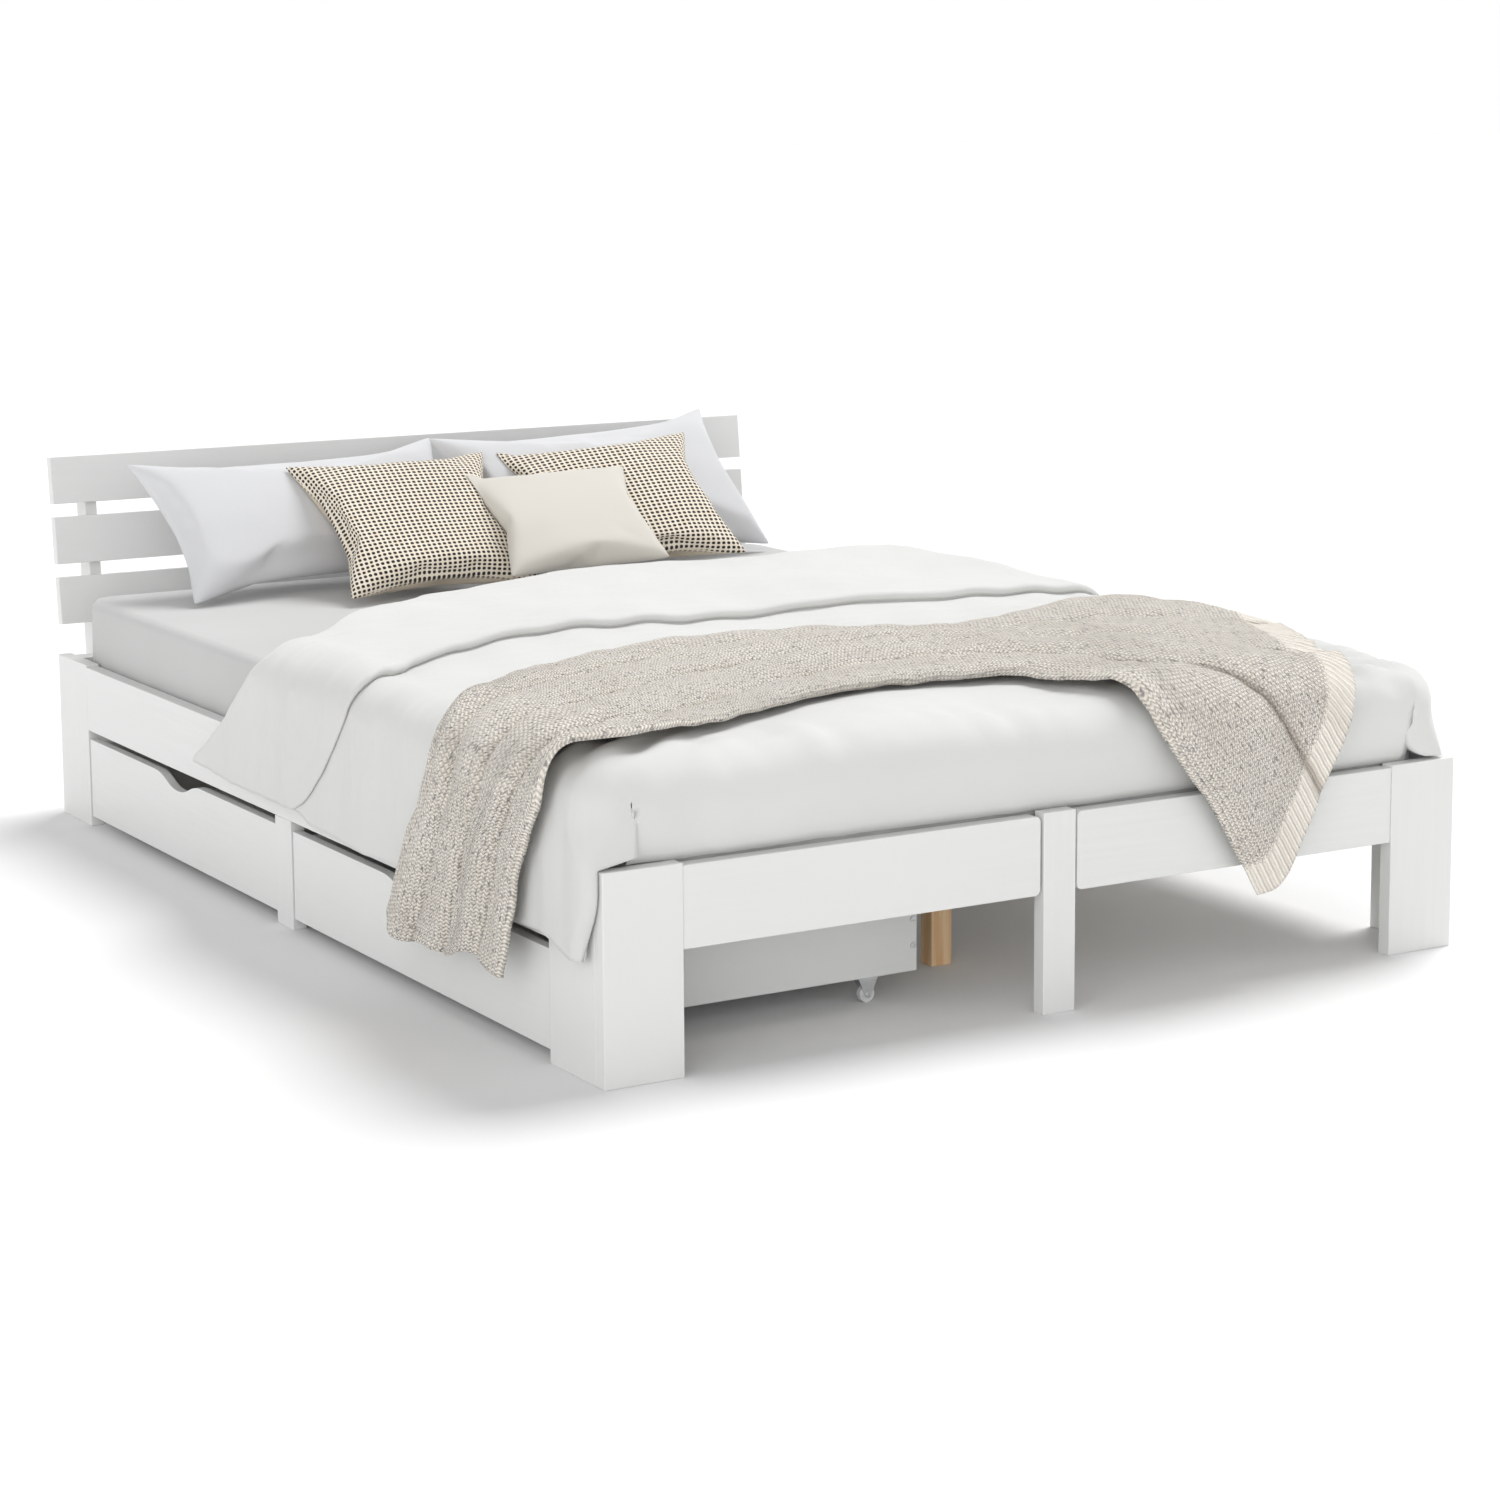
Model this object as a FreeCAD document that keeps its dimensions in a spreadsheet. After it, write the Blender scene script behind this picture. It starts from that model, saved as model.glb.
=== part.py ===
import FreeCAD, Part
import os
import re

import Sketcher
from FreeCAD import Placement, Rotation, Vector

# Platform bed for a 1400 x 2000 mm mattress, with two rolling drawers under its left side.
# Frame of reference: +X to the right and +Y towards the headboard as seen from the foot end, +Z up,
# origin on the floor at the centre of the whole bed's outline. Millimetres throughout.

DIMENSIONS = (
    # overall sizes
    ("mattress_width", 1400, "mattress"),
    ("mattress_length", 2000, "mattress"),
    ("mattress_thickness", 158, "mattress"),
    ("side_gap", 6, "between the mattress and each side board"),
    ("foot_gap", 4, "between the foot rail and the mattress"),
    ("head_gap", 11, "between the mattress and the head rail"),
    ("post_rise", 4, "corner posts and foot mid leg stand this far above the rails"),
    ("rail_top", 288, "top edge of the side, foot and head rails"),
    ("rail_height", 114, "height of the rails"),
    ("board", 24, "thickness of post and rail boards"),
    ("edge_round", 1.5, "eased edge of a board"),
    # posts and mid legs
    ("foot_post_face", 121, "width of the board that faces the foot end"),
    ("foot_post_depth", 155, "length of a foot post along the bed side"),
    ("head_post_depth", 143, "length of a head post along the bed side"),
    ("foot_leg_width", 55, "width of the mid leg in the foot rail"),
    ("foot_rail_recess", 2, "foot rails lie this far behind the post faces"),
    ("foot_rail_gap", 4, "shadow gap between a foot rail and the mid leg"),
    ("foot_rail_corner", 9, "rounded corner of a foot rail beside the mid leg"),
    ("side_leg_width", 62, "width of the mid leg under a side rail"),
    ("side_leg_shift", 13, "it stands this far headwards of the middle between the posts"),
    ("head_rail_board", 39, "thickness of the head rail"),
    # mattress base
    ("ledger_depth", 20, "slat ledger, across the bed"),
    ("ledger_height", 30, "slat ledger, upright"),
    ("base_drop", 58, "top of the ledgers and of the centre beam, below the rails' top"),
    ("beam_width", 40, "centre beam, across the bed"),
    ("beam_height", 70, "centre beam, upright"),
    ("leg_strip", 18, "width of each strip of a centre leg"),
    ("leg_depth", 30, "depth of a centre leg along the bed"),
    ("leg_offset", 8, "centre of the centre legs, right of the middle"),
    ("leg_foot_distance", 325, "first centre leg, from the foot end"),
    ("leg_head_distance", 580, "second centre leg, from the head end"),
    ("slat_count", 14, "slats of the mattress base"),
    ("slat_width", 68, "width of a base slat"),
    ("slat_thickness", 12, "thickness of a base slat"),
    ("slat_first", 90, "first base slat's near edge, from the foot end"),
    ("slat_last", 110, "last base slat's far edge, from the head end"),
    ("slat_play", 2, "room at each end of a base slat"),
    ("ledger_short", 30, "a ledger stops this far before each end of the mattress"),
    # headboard
    ("head_lean", 6.3, "lean of the headboard, degrees from upright"),
    ("head_slat_height", 85, "height of a headboard slat"),
    ("head_slat_pitch", 109, "distance between headboard slats, centre to centre"),
    ("head_slat_board", 18, "thickness of a headboard slat"),
    ("head_slat_inset", 9, "slat ends stop this far inside the bed sides"),
    ("head_slat_rise", 98.5, "centre of the lowest slat above the rails"),
    ("head_slat_set", 6.2, "front of the lowest slat's centre, behind the post ends"),
    ("upright_board", 22, "thickness of a headboard upright"),
    ("upright_inset", 86, "centre of an upright, from the bed's side"),
    ("upright_depth", 56, "depth of an upright behind the head rail"),
    ("upright_tip", 43, "depth of an upright at its top"),
    ("upright_swell", 8, "extra depth of an upright at its bend"),
    ("upright_bend_height", 152, "straight foot of an upright, up to where it bends back"),
    ("upright_bend_drop", 26, "where it bends back, below the top of the rails"),
    ("upright_shoulder_rise", 47, "where it reaches its lean, above the rails"),
    ("upright_top_rise", 350, "top of an upright above the rails"),
    # drawers
    ("front_board", 16, "thickness of a drawer front"),
    ("front_bottom", 18.5, "lower edge of a drawer front"),
    ("front_top_gap", 15.5, "between a drawer front and the side rail above it"),
    ("front_recess", 2, "drawer fronts lie this far inside the bed side"),
    ("front_gap", 4, "gap at each end of a drawer front"),
    ("front_round", 0.75, "eased edge of a drawer front"),
    ("grip_width", 208, "width of the finger cut-out"),
    ("grip_depth", 21, "depth of the finger cut-out"),
    ("box_gap", 10.5, "between a drawer box and the ends of the narrower bay"),
    ("leg_room", 113, "between a drawer's back and the centre legs"),
    ("box_board", 14, "thickness of the box sides and back"),
    ("box_bottom", 40, "underside of the drawer box"),
    ("box_below_front", 4, "box sides end this far below the top of the front"),
    ("panel", 6, "thickness of the drawer bottom"),
    ("panel_round", 0.5, "eased edge of the drawer bottom"),
    ("screw_head", 4.5, "radius of a drawer screw's head"),
    ("screw_proud", 2, "height of a drawer screw's head"),
    ("screw_shank", 2.5, "radius of a drawer screw's shank"),
    ("screw_length", 40, "length of a drawer screw under its head"),
    ("screw_socket", 1.7, "radius of the socket in a screw's head"),
    # casters
    ("wheel_radius", 12.5, "caster wheel"),
    ("wheel_width", 11, "caster wheel"),
    ("wheel_round", 1.8, "rounded rim of a caster wheel"),
    ("axle_radius", 2, "caster axle"),
    ("axle_play", 0.05, "running clearance of a wheel on its axle, on the radius"),
    ("rivet_radius", 3.6, "head of a caster axle"),
    ("bracket_sheet", 1.5, "sheet metal of a caster bracket"),
    ("bracket_length", 48, "plate of a caster bracket, along its rolling direction"),
    ("bracket_width", 30, "plate of a caster bracket, across"),
    ("cheek_top", 34, "bracket cheek, width at the plate"),
    ("cheek_tip", 11, "bracket cheek, width around the axle"),
    ("wheel_play", 0.8, "room beside a wheel inside its bracket"),
    ("caster_inset_x", 76, "caster centre from the front and back of the drawer box"),
    ("caster_inset_y", 19, "caster centre from the outer face of the box sides"),
    # bedding
    ("mattress_corner", 55, "plan corner radius of the mattress"),
    ("mattress_edge", 18, "rounded rim of the mattress"),
    ("air_gap", 0.5, "air between a soft solid and its neighbours"),
    ("beyond", 50, "how far a cutting box reaches past what it cuts"),
    ("duvet_side", 22, "thickness of the duvet outside a side rail"),
    ("duvet_thickness", 41, "duvet above the mattress"),
    ("duvet_fold", 17, "turned-back band above the duvet"),
    ("duvet_fold_clear", 310, "between the throw and the turned-back band"),
    ("duvet_hem_rise", 6, "hem of the duvet above the rails' lower edge"),
    ("duvet_clear", 10, "between the plain cushion and the duvet's head-side edge, at the right"),
    ("duvet_skew", 160, "that edge lies this much nearer to the foot at the left side"),
    ("throw_sheet", 16, "thickness of the gathered throw on the bed"),
    ("throw_drape", 21, "thickness of the hanging throw"),
    ("throw_cut_drop", 9, "where the side drape is divided, below the rails' lower edge"),
    ("throw_tip_drop", 64, "lowest edge of the side drape, below the rails' lower edge"),
    ("throw_top_near", 60, "near edge of the left drape at its top, from the foot end"),
    ("throw_top_far", 420, "far edge of the left drape at its top, from the foot end"),
    ("throw_near", 200, "near edge of the left drape at its tip, from the foot end"),
    ("throw_far", 585, "far edge of the left drape at its tip, from the foot end"),
    ("throw_hollow", 215, "near edge across the bed, from the foot end"),
    ("throw_hollow_left", 170, "it reaches this far left of the bed's middle"),
    ("throw_hollow_right", 80, "it reaches this far right of the bed's middle"),
    ("throw_back", 650, "far edge across the bed, from the foot end"),
    ("throw_back_left", 460, "it reaches this far left of the bed's middle"),
    ("throw_right_near", 450, "near edge of the short right drape, from the foot end"),
    ("throw_turn", 95, "left edge of the foot drape, right of the bed's middle"),
    ("throw_tongue", 420, "width of the foot drape at its top"),
    ("throw_tongue_low", 222, "width of the foot drape at the foot rail's top"),
    ("throw_tongue_slant", 145, "its left end there, right of the drape's left edge"),
    ("throw_tongue_tip", 47, "width of the foot drape at its tip"),
    ("throw_tongue_reach", 222, "left end of that tip, right of the drape's left edge"),
    ("throw_tongue_rise", 20, "tip of the foot drape above that of the side drape"),
    ("pillow_width", 590, "pillow"),
    ("pillow_height", 320, "pillow"),
    ("pillow_depth", 80, "pillow"),
    ("pillow_lean", 44, "pillow, degrees from upright"),
    ("pillow_yaw", 6, "pillow, degrees about the vertical"),
    ("pillow_between", 18, "between the pillows, over their centres' distance"),
    ("pillow_past", 33, "a pillow's back reaches this far past the head end, under the headboard"),
    ("check_size", 400, "patterned cushion, both ways"),
    ("check_depth", 64, "patterned cushion"),
    ("check_lean", 54, "all three small cushions, degrees from upright"),
    ("check_yaw", -6, "patterned cushions, degrees about the vertical"),
    ("check_between", 19, "between the patterned cushions, over their centres' distance"),
    ("check_clear", 60, "between the pillows and the patterned cushions, at one height"),
    ("check_step", 10, "the left one stands this far behind the middle, the right one in front"),
    ("check_aside", 72.5, "middle of the pair, right of the bed's middle"),
    ("plain_size", 300, "plain cushion, both ways"),
    ("plain_depth", 60, "plain cushion"),
    ("plain_yaw", -8, "plain cushion, degrees about the vertical"),
    ("plain_aside", 120, "its centre, right of the bed's middle"),
    ("plain_lift", 23.6, "the plain cushion rests this far higher, on the feet of the others"),
    ("plain_clear", 37, "between the patterned cushions and the plain one, at one height"),
    ("seat_clear", 1, "between a cushion's lowest edge and the mattress"),
    ("cushion_round", 0.42, "rounding of a cushion's edges, as a share of its depth"),
)

doc = FreeCAD.newDocument("PlatformBed")
sheet = doc.addObject("Spreadsheet::Sheet", "Dims")
for row, (alias, value, note) in enumerate(DIMENSIONS, start=1):
    sheet.set(f"A{row}", str(value))
    sheet.setAlias(f"A{row}", alias)
    sheet.set(f"B{row}", note)
doc.recompute()

ALIASES = {alias for alias, _, _ in DIMENSIONS}
LEFT, RIGHT = -1, 1
SIDES = ((LEFT, "left"), (RIGHT, "right"))

# Derived sizes and places, as formulas in the sheet's words.
BED_WIDTH = "(mattress_width + 2 * side_gap + 2 * board)"
BED_LENGTH = "(board + foot_rail_recess + foot_gap + mattress_length + head_gap + head_rail_board)"
HALF = f"({BED_WIDTH} / 2)"
POST_HEIGHT = "(rail_top + post_rise)"
RAIL_BOTTOM = "(rail_top - rail_height)"
BASE_TOP = "(rail_top - base_drop)"
MATTRESS_BOTTOM = f"({BASE_TOP} + slat_thickness)"
MATTRESS_TOP = f"({MATTRESS_BOTTOM} + mattress_thickness)"
LEAN = "(head_lean * 1deg)"
SLAT_BACK = f"(head_slat_set + head_slat_board / cos{LEAN})"
SHOULDER_Y = f"({SLAT_BACK} + (upright_shoulder_rise - head_slat_rise) * tan{LEAN})"
TOP_Y = f"({SLAT_BACK} + (upright_top_rise - head_slat_rise) * tan{LEAN})"
THROW_PROUD = "(throw_drape + 2 * air_gap)"
FOOT_Y = f"(-({BED_LENGTH} + {TOP_Y} + upright_tip - {THROW_PROUD}) / 2)"
HEAD_Y = f"({FOOT_Y} + {BED_LENGTH})"
RAIL_BACK = f"({FOOT_Y} + board + foot_rail_recess)"
MATTRESS_START = f"({RAIL_BACK} + foot_gap)"
FRONT_HEIGHT = f"({RAIL_BOTTOM} - front_top_gap - front_bottom)"
BOX_HEIGHT = f"(front_bottom + {FRONT_HEIGHT} - box_below_front - box_bottom)"
BOX_REACH = f"({HALF} + leg_offset - leg_strip - leg_room)"
SIDE_LEG = f"((foot_post_depth + {BED_LENGTH} - head_post_depth) / 2 + side_leg_shift)"
HEAD_BAY = f"({BED_LENGTH} - head_post_depth - {SIDE_LEG} - side_leg_width / 2)"
BOX_WIDTH = f"({HEAD_BAY} - 2 * box_gap)"
PILLOW = ("pillow_width", "pillow_height", "pillow_depth", "pillow_lean")
CHECK = ("check_size", "check_size", "check_depth", "check_lean")
PLAIN = ("plain_size", "plain_size", "plain_depth", "check_lean")


def cushion_reach(size, rise):
    """How far a leaning cushion reaches from its centre: down for cos, or along the bed for sin."""
    _, height, depth, lean = size
    across = "sin" if rise == "cos" else "cos"
    return (f"(({height} / 2 - cushion_round * {depth}) * {rise}({lean} * 1deg)"
            f" + (1 / 2 - cushion_round) * {depth} * {across}({lean} * 1deg) + cushion_round * {depth})")


def half_through(size):
    """Half of a leaning cushion's thickness, measured along the bed."""
    return f"({size[2]} / 2 / cos({size[3]} * 1deg))"


PILLOW_Y = (f"({HEAD_Y} + pillow_past - {cushion_reach(PILLOW, 'sin')}"
            f" - pillow_width / 2 * sin(pillow_yaw * 1deg))")
CHECK_Y = f"({PILLOW_Y} - {half_through(PILLOW)} - {half_through(CHECK)} - check_clear)"
PLAIN_Y = f"({CHECK_Y} - {half_through(CHECK)} - {half_through(PLAIN)} - plain_clear)"
DUVET_END = (f"({PLAIN_Y} - {cushion_reach(PLAIN, 'sin')} + plain_size / 2 * sin(plain_yaw * 1deg)"
             f" - duvet_clear)")
FOLD_START = "(throw_back + duvet_fold_clear)"
DUVET_SIDE = f"({HALF} + air_gap + duvet_side)"
DUVET_TOP = f"({MATTRESS_TOP} + duvet_thickness)"
THROW_CUT = f"({RAIL_BOTTOM} - throw_cut_drop)"
THROW_TIP = f"({RAIL_BOTTOM} - throw_tip_drop)"

parts = {}


def formula(text):
    """The text with every dimension's name spelled as a sheet reference."""
    return re.sub(r"[a-z_]+", lambda word: f"Dims.{word[0]}" if word[0] in ALIASES else word[0], text)


def bind(target, **formulas):
    """Bind properties of an object; a double underscore stands for a dot."""
    for name, text in formulas.items():
        target.setExpression(name.replace("__", "."), formula(text))


def place(target, at, rotation=None):
    """Bind a position, and turn the object about its own origin."""
    target.Placement = Placement(Vector(), rotation or Rotation())
    bind(target, Placement__Base__x=at[0], Placement__Base__y=at[1], Placement__Base__z=at[2])


def keep(label, target):
    """Register a finished sub-part under the name of its file."""
    target.Label = label
    parts[label] = target
    return target


def origin_plane(body, role):
    return next(item for item in body.Origin.OriginFeatures if item.Role == role)


def new_sketch(body, name, plane):
    sketch = body.newObject("Sketcher::SketchObject", name)
    sketch.AttachmentSupport = [(origin_plane(body, plane), "")]
    sketch.MapMode = "FlatFace"
    return sketch


def outline(body, name, plane, points):
    """A closed polygon whose corners are bound to pairs of formulas, all at 0 or more."""
    sketch = new_sketch(body, name, plane)
    count = len(points)
    # a rough star-shaped start that the bound sizes then pull into place
    start = [Vector(10.0 + 5 * index, 10.0 + index * index, 0) for index in range(count)]
    for index in range(count):
        sketch.addGeometry(Part.LineSegment(start[index], start[(index + 1) % count]), False)
    for index in range(count):
        sketch.addConstraint(Sketcher.Constraint("Coincident", index, 2, (index + 1) % count, 1))
    for index, (across, up) in enumerate(points):
        for kind, text, axis in (("DistanceX", across, -2), ("DistanceY", up, -1)):
            if text == "0":
                sketch.addConstraint(Sketcher.Constraint("PointOnObject", index, 1, axis))
                continue
            row = sketch.addConstraint(Sketcher.Constraint(kind, -1, 1, index, 1, 10.0 + index))
            sketch.setExpression(f"Constraints[{row}]", formula(text))
    return sketch


def centred_rectangle(body, name, plane, width, height):
    """A rectangle about the sketch's origin, with bound width and height."""
    sketch = new_sketch(body, name, plane)
    corners = [Vector(-5, -5, 0), Vector(5, -5, 0), Vector(5, 5, 0), Vector(-5, 5, 0)]
    for index in range(4):
        sketch.addGeometry(Part.LineSegment(corners[index], corners[(index + 1) % 4]), False)
    for index in range(4):
        sketch.addConstraint(Sketcher.Constraint("Coincident", index, 2, (index + 1) % 4, 1))
        kind = "Horizontal" if index % 2 == 0 else "Vertical"
        sketch.addConstraint(Sketcher.Constraint(kind, index))
    sketch.addConstraint(Sketcher.Constraint("Symmetric", 0, 1, 2, 1, -1, 1))
    wide = sketch.addConstraint(Sketcher.Constraint("DistanceX", 0, 1, 0, 2, 10.0))
    tall = sketch.addConstraint(Sketcher.Constraint("DistanceY", 1, 1, 1, 2, 10.0))
    sketch.setExpression(f"Constraints[{wide}]", formula(width))
    sketch.setExpression(f"Constraints[{tall}]", formula(height))
    return sketch


def pad(body, name, sketch, length, midplane=False):
    feature = body.newObject("PartDesign::Pad", name)
    feature.Profile = sketch
    feature.Midplane = midplane
    bind(feature, Length=length)
    return feature


def fillet(body, name, base, radius, edges=None):
    """Round the edges whose numbers are given, or all of them."""
    feature = body.newObject("PartDesign::Fillet", name)
    feature.Base = (base, [f"Edge{number}" for number in edges or (1,)])
    feature.UseAllEdges = edges is None
    bind(feature, Radius=radius)
    return feature


def edge_numbers(feature, wanted):
    """Numbers of a feature's edges that pass the test, once the document is computed."""
    doc.recompute()
    return [number for number, edge in enumerate(feature.Shape.Edges, start=1) if wanted(edge)]


def along(edge, axis):
    """Whether a straight edge runs along an axis."""
    ends = edge.Vertexes
    return len(ends) == 2 and abs(abs((ends[1].Point - ends[0].Point).normalize().dot(axis)) - 1) < 1e-6


def board(label, size, at, round_edges="edge_round"):
    """A board with its low corner at a bound place and all its edges eased."""
    body = doc.addObject("PartDesign::Body", label)
    length, depth, height = size
    corners = (("0", "0"), (length, "0"), (length, depth), ("0", depth))
    sketch = outline(body, label + "_outline", "XY_Plane", corners)
    solid = pad(body, label + "_pad", sketch, height)
    fillet(body, label + "_eased", solid, round_edges)
    place(body, at)
    return keep(label, body)


def side_x(side, inset, thickness):
    """Low X of a piece that lies a given distance inside the left or right side of the bed."""
    if side == LEFT:
        return f"-{HALF} + {inset}"
    return f"{HALF} - {inset} - {thickness}"


# ---------------------------------------------------------------- posts, legs and rails
def frame_boards():
    inner = f"({BED_WIDTH} - 2 * board)"
    rail_length = f"{BED_LENGTH} - foot_post_depth - head_post_depth"
    for side, name in SIDES:
        outer = side_x(side, "0", "board")
        board(f"foot_post_{name}", ("foot_post_face", "board", POST_HEIGHT),
              (side_x(side, "0", "foot_post_face"), FOOT_Y, "0"))
        board(f"foot_post_side_{name}", ("board", "foot_post_depth - board", POST_HEIGHT),
              (outer, f"{FOOT_Y} + board", "0"))
        board(f"head_post_{name}", ("board", "head_post_depth", POST_HEIGHT),
              (outer, f"{HEAD_Y} - head_post_depth", "0"))
        board(f"side_rail_{name}", ("board", rail_length, "rail_height"),
              (outer, f"{FOOT_Y} + foot_post_depth", RAIL_BOTTOM))
        board(f"side_mid_leg_{name}", ("board", "side_leg_width", RAIL_BOTTOM),
              (outer, f"{FOOT_Y} + {SIDE_LEG} - side_leg_width / 2", "0"))
        board(f"slat_ledger_{name}", ("ledger_depth", "mattress_length - 2 * ledger_short", "ledger_height"),
              (side_x(side, "board", "ledger_depth"), f"{MATTRESS_START} + ledger_short",
               f"{BASE_TOP} - ledger_height"))
    board("foot_mid_leg", ("foot_leg_width", "board", POST_HEIGHT), ("-foot_leg_width / 2", FOOT_Y, "0"))
    board("head_rail", (inner, "head_rail_board", "rail_height"),
          (f"-{HALF} + board", f"{HEAD_Y} - head_rail_board", RAIL_BOTTOM))


def foot_rail(side, name):
    """A foot rail between a corner post and the mid leg, with rounded corners beside the leg."""
    label = f"foot_rail_{name}"
    body = doc.addObject("PartDesign::Body", label)
    length = f"({HALF} - foot_post_face - foot_leg_width / 2 - foot_rail_gap)"
    corners = (("0", "0"), (length, "0"), (length, "board"), ("0", "board"))
    sketch = outline(body, label + "_outline", "XY_Plane", corners)
    solid = pad(body, label + "_pad", sketch, "rail_height")
    doc.recompute()
    leg_end = solid.Shape.BoundBox.XMax if side == LEFT else 0.0
    numbers = edge_numbers(solid, lambda edge: along(edge, Vector(0, 1, 0))
                           and abs(edge.CenterOfMass.x - leg_end) < 0.01)
    rounded = fillet(body, label + "_corners", solid, "foot_rail_corner", numbers)
    fillet(body, label + "_eased", rounded, "edge_round")
    start = f"-{HALF} + foot_post_face" if side == LEFT else "foot_leg_width / 2 + foot_rail_gap"
    place(body, (start, f"{FOOT_Y} + foot_rail_recess", RAIL_BOTTOM))
    keep(label, body)


# ---------------------------------------------------------------- mattress base
def mattress_base():
    beam_length = f"{BED_LENGTH} - board - foot_rail_recess - head_rail_board"
    board("centre_beam", ("beam_width", beam_length, "beam_height"),
          ("leg_offset - beam_width / 2", RAIL_BACK, f"{BASE_TOP} - beam_height"))
    for end, middle in (("foot", f"{FOOT_Y} + leg_foot_distance"), ("head", f"{HEAD_Y} - leg_head_distance")):
        for strip in (0, 1):
            board(f"centre_leg_{end}_{'ab'[strip]}", ("leg_strip", "leg_depth", f"{BASE_TOP} - beam_height"),
                  (f"leg_offset + ({strip} - 1) * leg_strip", f"{middle} - leg_depth / 2", "0"))
    length = f"({BED_WIDTH} - 2 * board - 2 * slat_play)"
    slat = doc.addObject("PartDesign::Body", "base_slat")
    sketch = outline(slat, "base_slat_outline", "XY_Plane",
                     (("0", "0"), (length, "0"), (length, "slat_width"), ("0", "slat_width")))
    fillet(slat, "base_slat_eased", pad(slat, "base_slat_pad", sketch, "slat_thickness"), "edge_round")
    place(slat, (f"-{HALF} + board + slat_play", f"{FOOT_Y} + slat_first", BASE_TOP))
    row = doc.addObject("Part::Compound", "base_slats")
    count = int(sheet.slat_count)
    step = f"(({BED_LENGTH} - slat_first - slat_last - slat_width) / (slat_count - 1))"
    links = [slat]
    for index in range(1, count):
        link = doc.addObject("App::Link", f"base_slat_{index}")
        link.LinkedObject = slat
        link.LinkTransform = True
        bind(link, Placement__Base__y=f"{index} * {step}")
        links.append(link)
    row.Links = links
    keep("base_slats", row)


# ---------------------------------------------------------------- headboard
def headboard():
    lean = Rotation(Vector(1, 0, 0), -sheet.head_lean)
    for index, name in enumerate(("low", "mid", "top")):
        label = f"headboard_slat_{name}"
        body = doc.addObject("PartDesign::Body", label)
        sketch = centred_rectangle(body, label + "_outline", "XZ_Plane",
                                   f"{BED_WIDTH} - 2 * head_slat_inset", "head_slat_height")
        solid = pad(body, label + "_pad", sketch, "head_slat_board", midplane=True)
        fillet(body, label + "_eased", solid, "edge_round")
        rise = f"{index} * head_slat_pitch"
        front = f"{HEAD_Y} + head_slat_set + {rise} * sin{LEAN}"
        place(body, ("0", f"{front} + head_slat_board / 2 / cos{LEAN}",
                     f"rail_top + head_slat_rise + {rise} * cos{LEAN}"), lean)
        keep(label, body)
    # Each upright stands behind the head rail, bends back above it and tapers towards its top.
    shoulder = "upright_bend_height + upright_bend_drop + upright_shoulder_rise"
    top = "upright_bend_height + upright_bend_drop + upright_top_rise"
    profile = (("0", "0"), ("upright_depth", "0"), ("upright_depth + upright_swell", "upright_bend_height"),
               (f"{TOP_Y} + upright_tip", top), (TOP_Y, top), (SHOULDER_Y, shoulder),
               ("0", "upright_bend_height"))
    for side, name in SIDES:
        label = f"headboard_upright_{name}"
        body = doc.addObject("PartDesign::Body", label)
        sketch = outline(body, label + "_outline", "YZ_Plane", profile)
        solid = pad(body, label + "_pad", sketch, "upright_board", midplane=True)
        fillet(body, label + "_eased", solid, "edge_round")
        place(body, (f"{side} * ({HALF} - upright_inset)", HEAD_Y,
                     "rail_top - upright_bend_drop - upright_bend_height"))
        keep(label, body)


# ---------------------------------------------------------------- drawers
def grip_sketch(body, name):
    """The finger cut-out: three equal arcs that meet the top edge and each other smoothly."""
    sketch = new_sketch(body, name, "YZ_Plane")
    half = sheet.grip_width / 2
    quarter = half / 2
    deep = sheet.grip_depth
    top = (sheet.rail_top - sheet.rail_height - sheet.front_top_gap - sheet.front_bottom) / 2
    radius = (quarter * quarter + deep * deep / 4) / deep
    sag = radius - (radius * radius - (quarter / 2) ** 2) ** 0.5
    knots = (((-half, top), (-half + quarter / 2, top - sag), (-quarter, top - deep / 2)),
             ((-quarter, top - deep / 2), (0, top - deep), (quarter, top - deep / 2)),
             ((quarter, top - deep / 2), (half - quarter / 2, top - sag), (half, top)))
    for three in knots:
        sketch.addGeometry(Part.Arc(*(Vector(across, up, 0) for across, up in three)), False)
    sketch.addGeometry(Part.LineSegment(Vector(half, top, 0), Vector(-half, top, 0)), False)
    ends = [[1 if sketch.getPoint(arc, 1).x < sketch.getPoint(arc, 2).x else 2 for arc in range(3)]]
    ends.append([3 - end for end in ends[0]])
    for arc in (0, 1):
        sketch.addConstraint(Sketcher.Constraint("Tangent", arc, ends[1][arc], arc + 1, ends[0][arc + 1]))
    sketch.addConstraint(Sketcher.Constraint("Coincident", 2, ends[1][2], 3, 1))
    sketch.addConstraint(Sketcher.Constraint("Coincident", 0, ends[0][0], 3, 2))
    sketch.addConstraint(Sketcher.Constraint("Vertical", 0, 3, 0, ends[0][0]))
    sketch.addConstraint(Sketcher.Constraint("Vertical", 2, 3, 2, ends[1][2]))
    sketch.addConstraint(Sketcher.Constraint("Symmetric", 3, 1, 3, 2, -2))
    sketch.addConstraint(Sketcher.Constraint("Equal", 0, 2))
    sketch.addConstraint(Sketcher.Constraint("Equal", 0, 1))
    sizes = ((Sketcher.Constraint("DistanceX", 3, 2, 3, 1, 2 * half), "grip_width"),
             (Sketcher.Constraint("DistanceY", -1, 1, 3, 1, top), f"{FRONT_HEIGHT} / 2"),
             (Sketcher.Constraint("Radius", 1, radius),
              "(grip_width ^ 2 / 16 + grip_depth ^ 2 / 4) / grip_depth"))
    for constraint, text in sizes:
        row = sketch.addConstraint(constraint)
        sketch.setExpression(f"Constraints[{row}]", formula(text))
    return sketch


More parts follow.
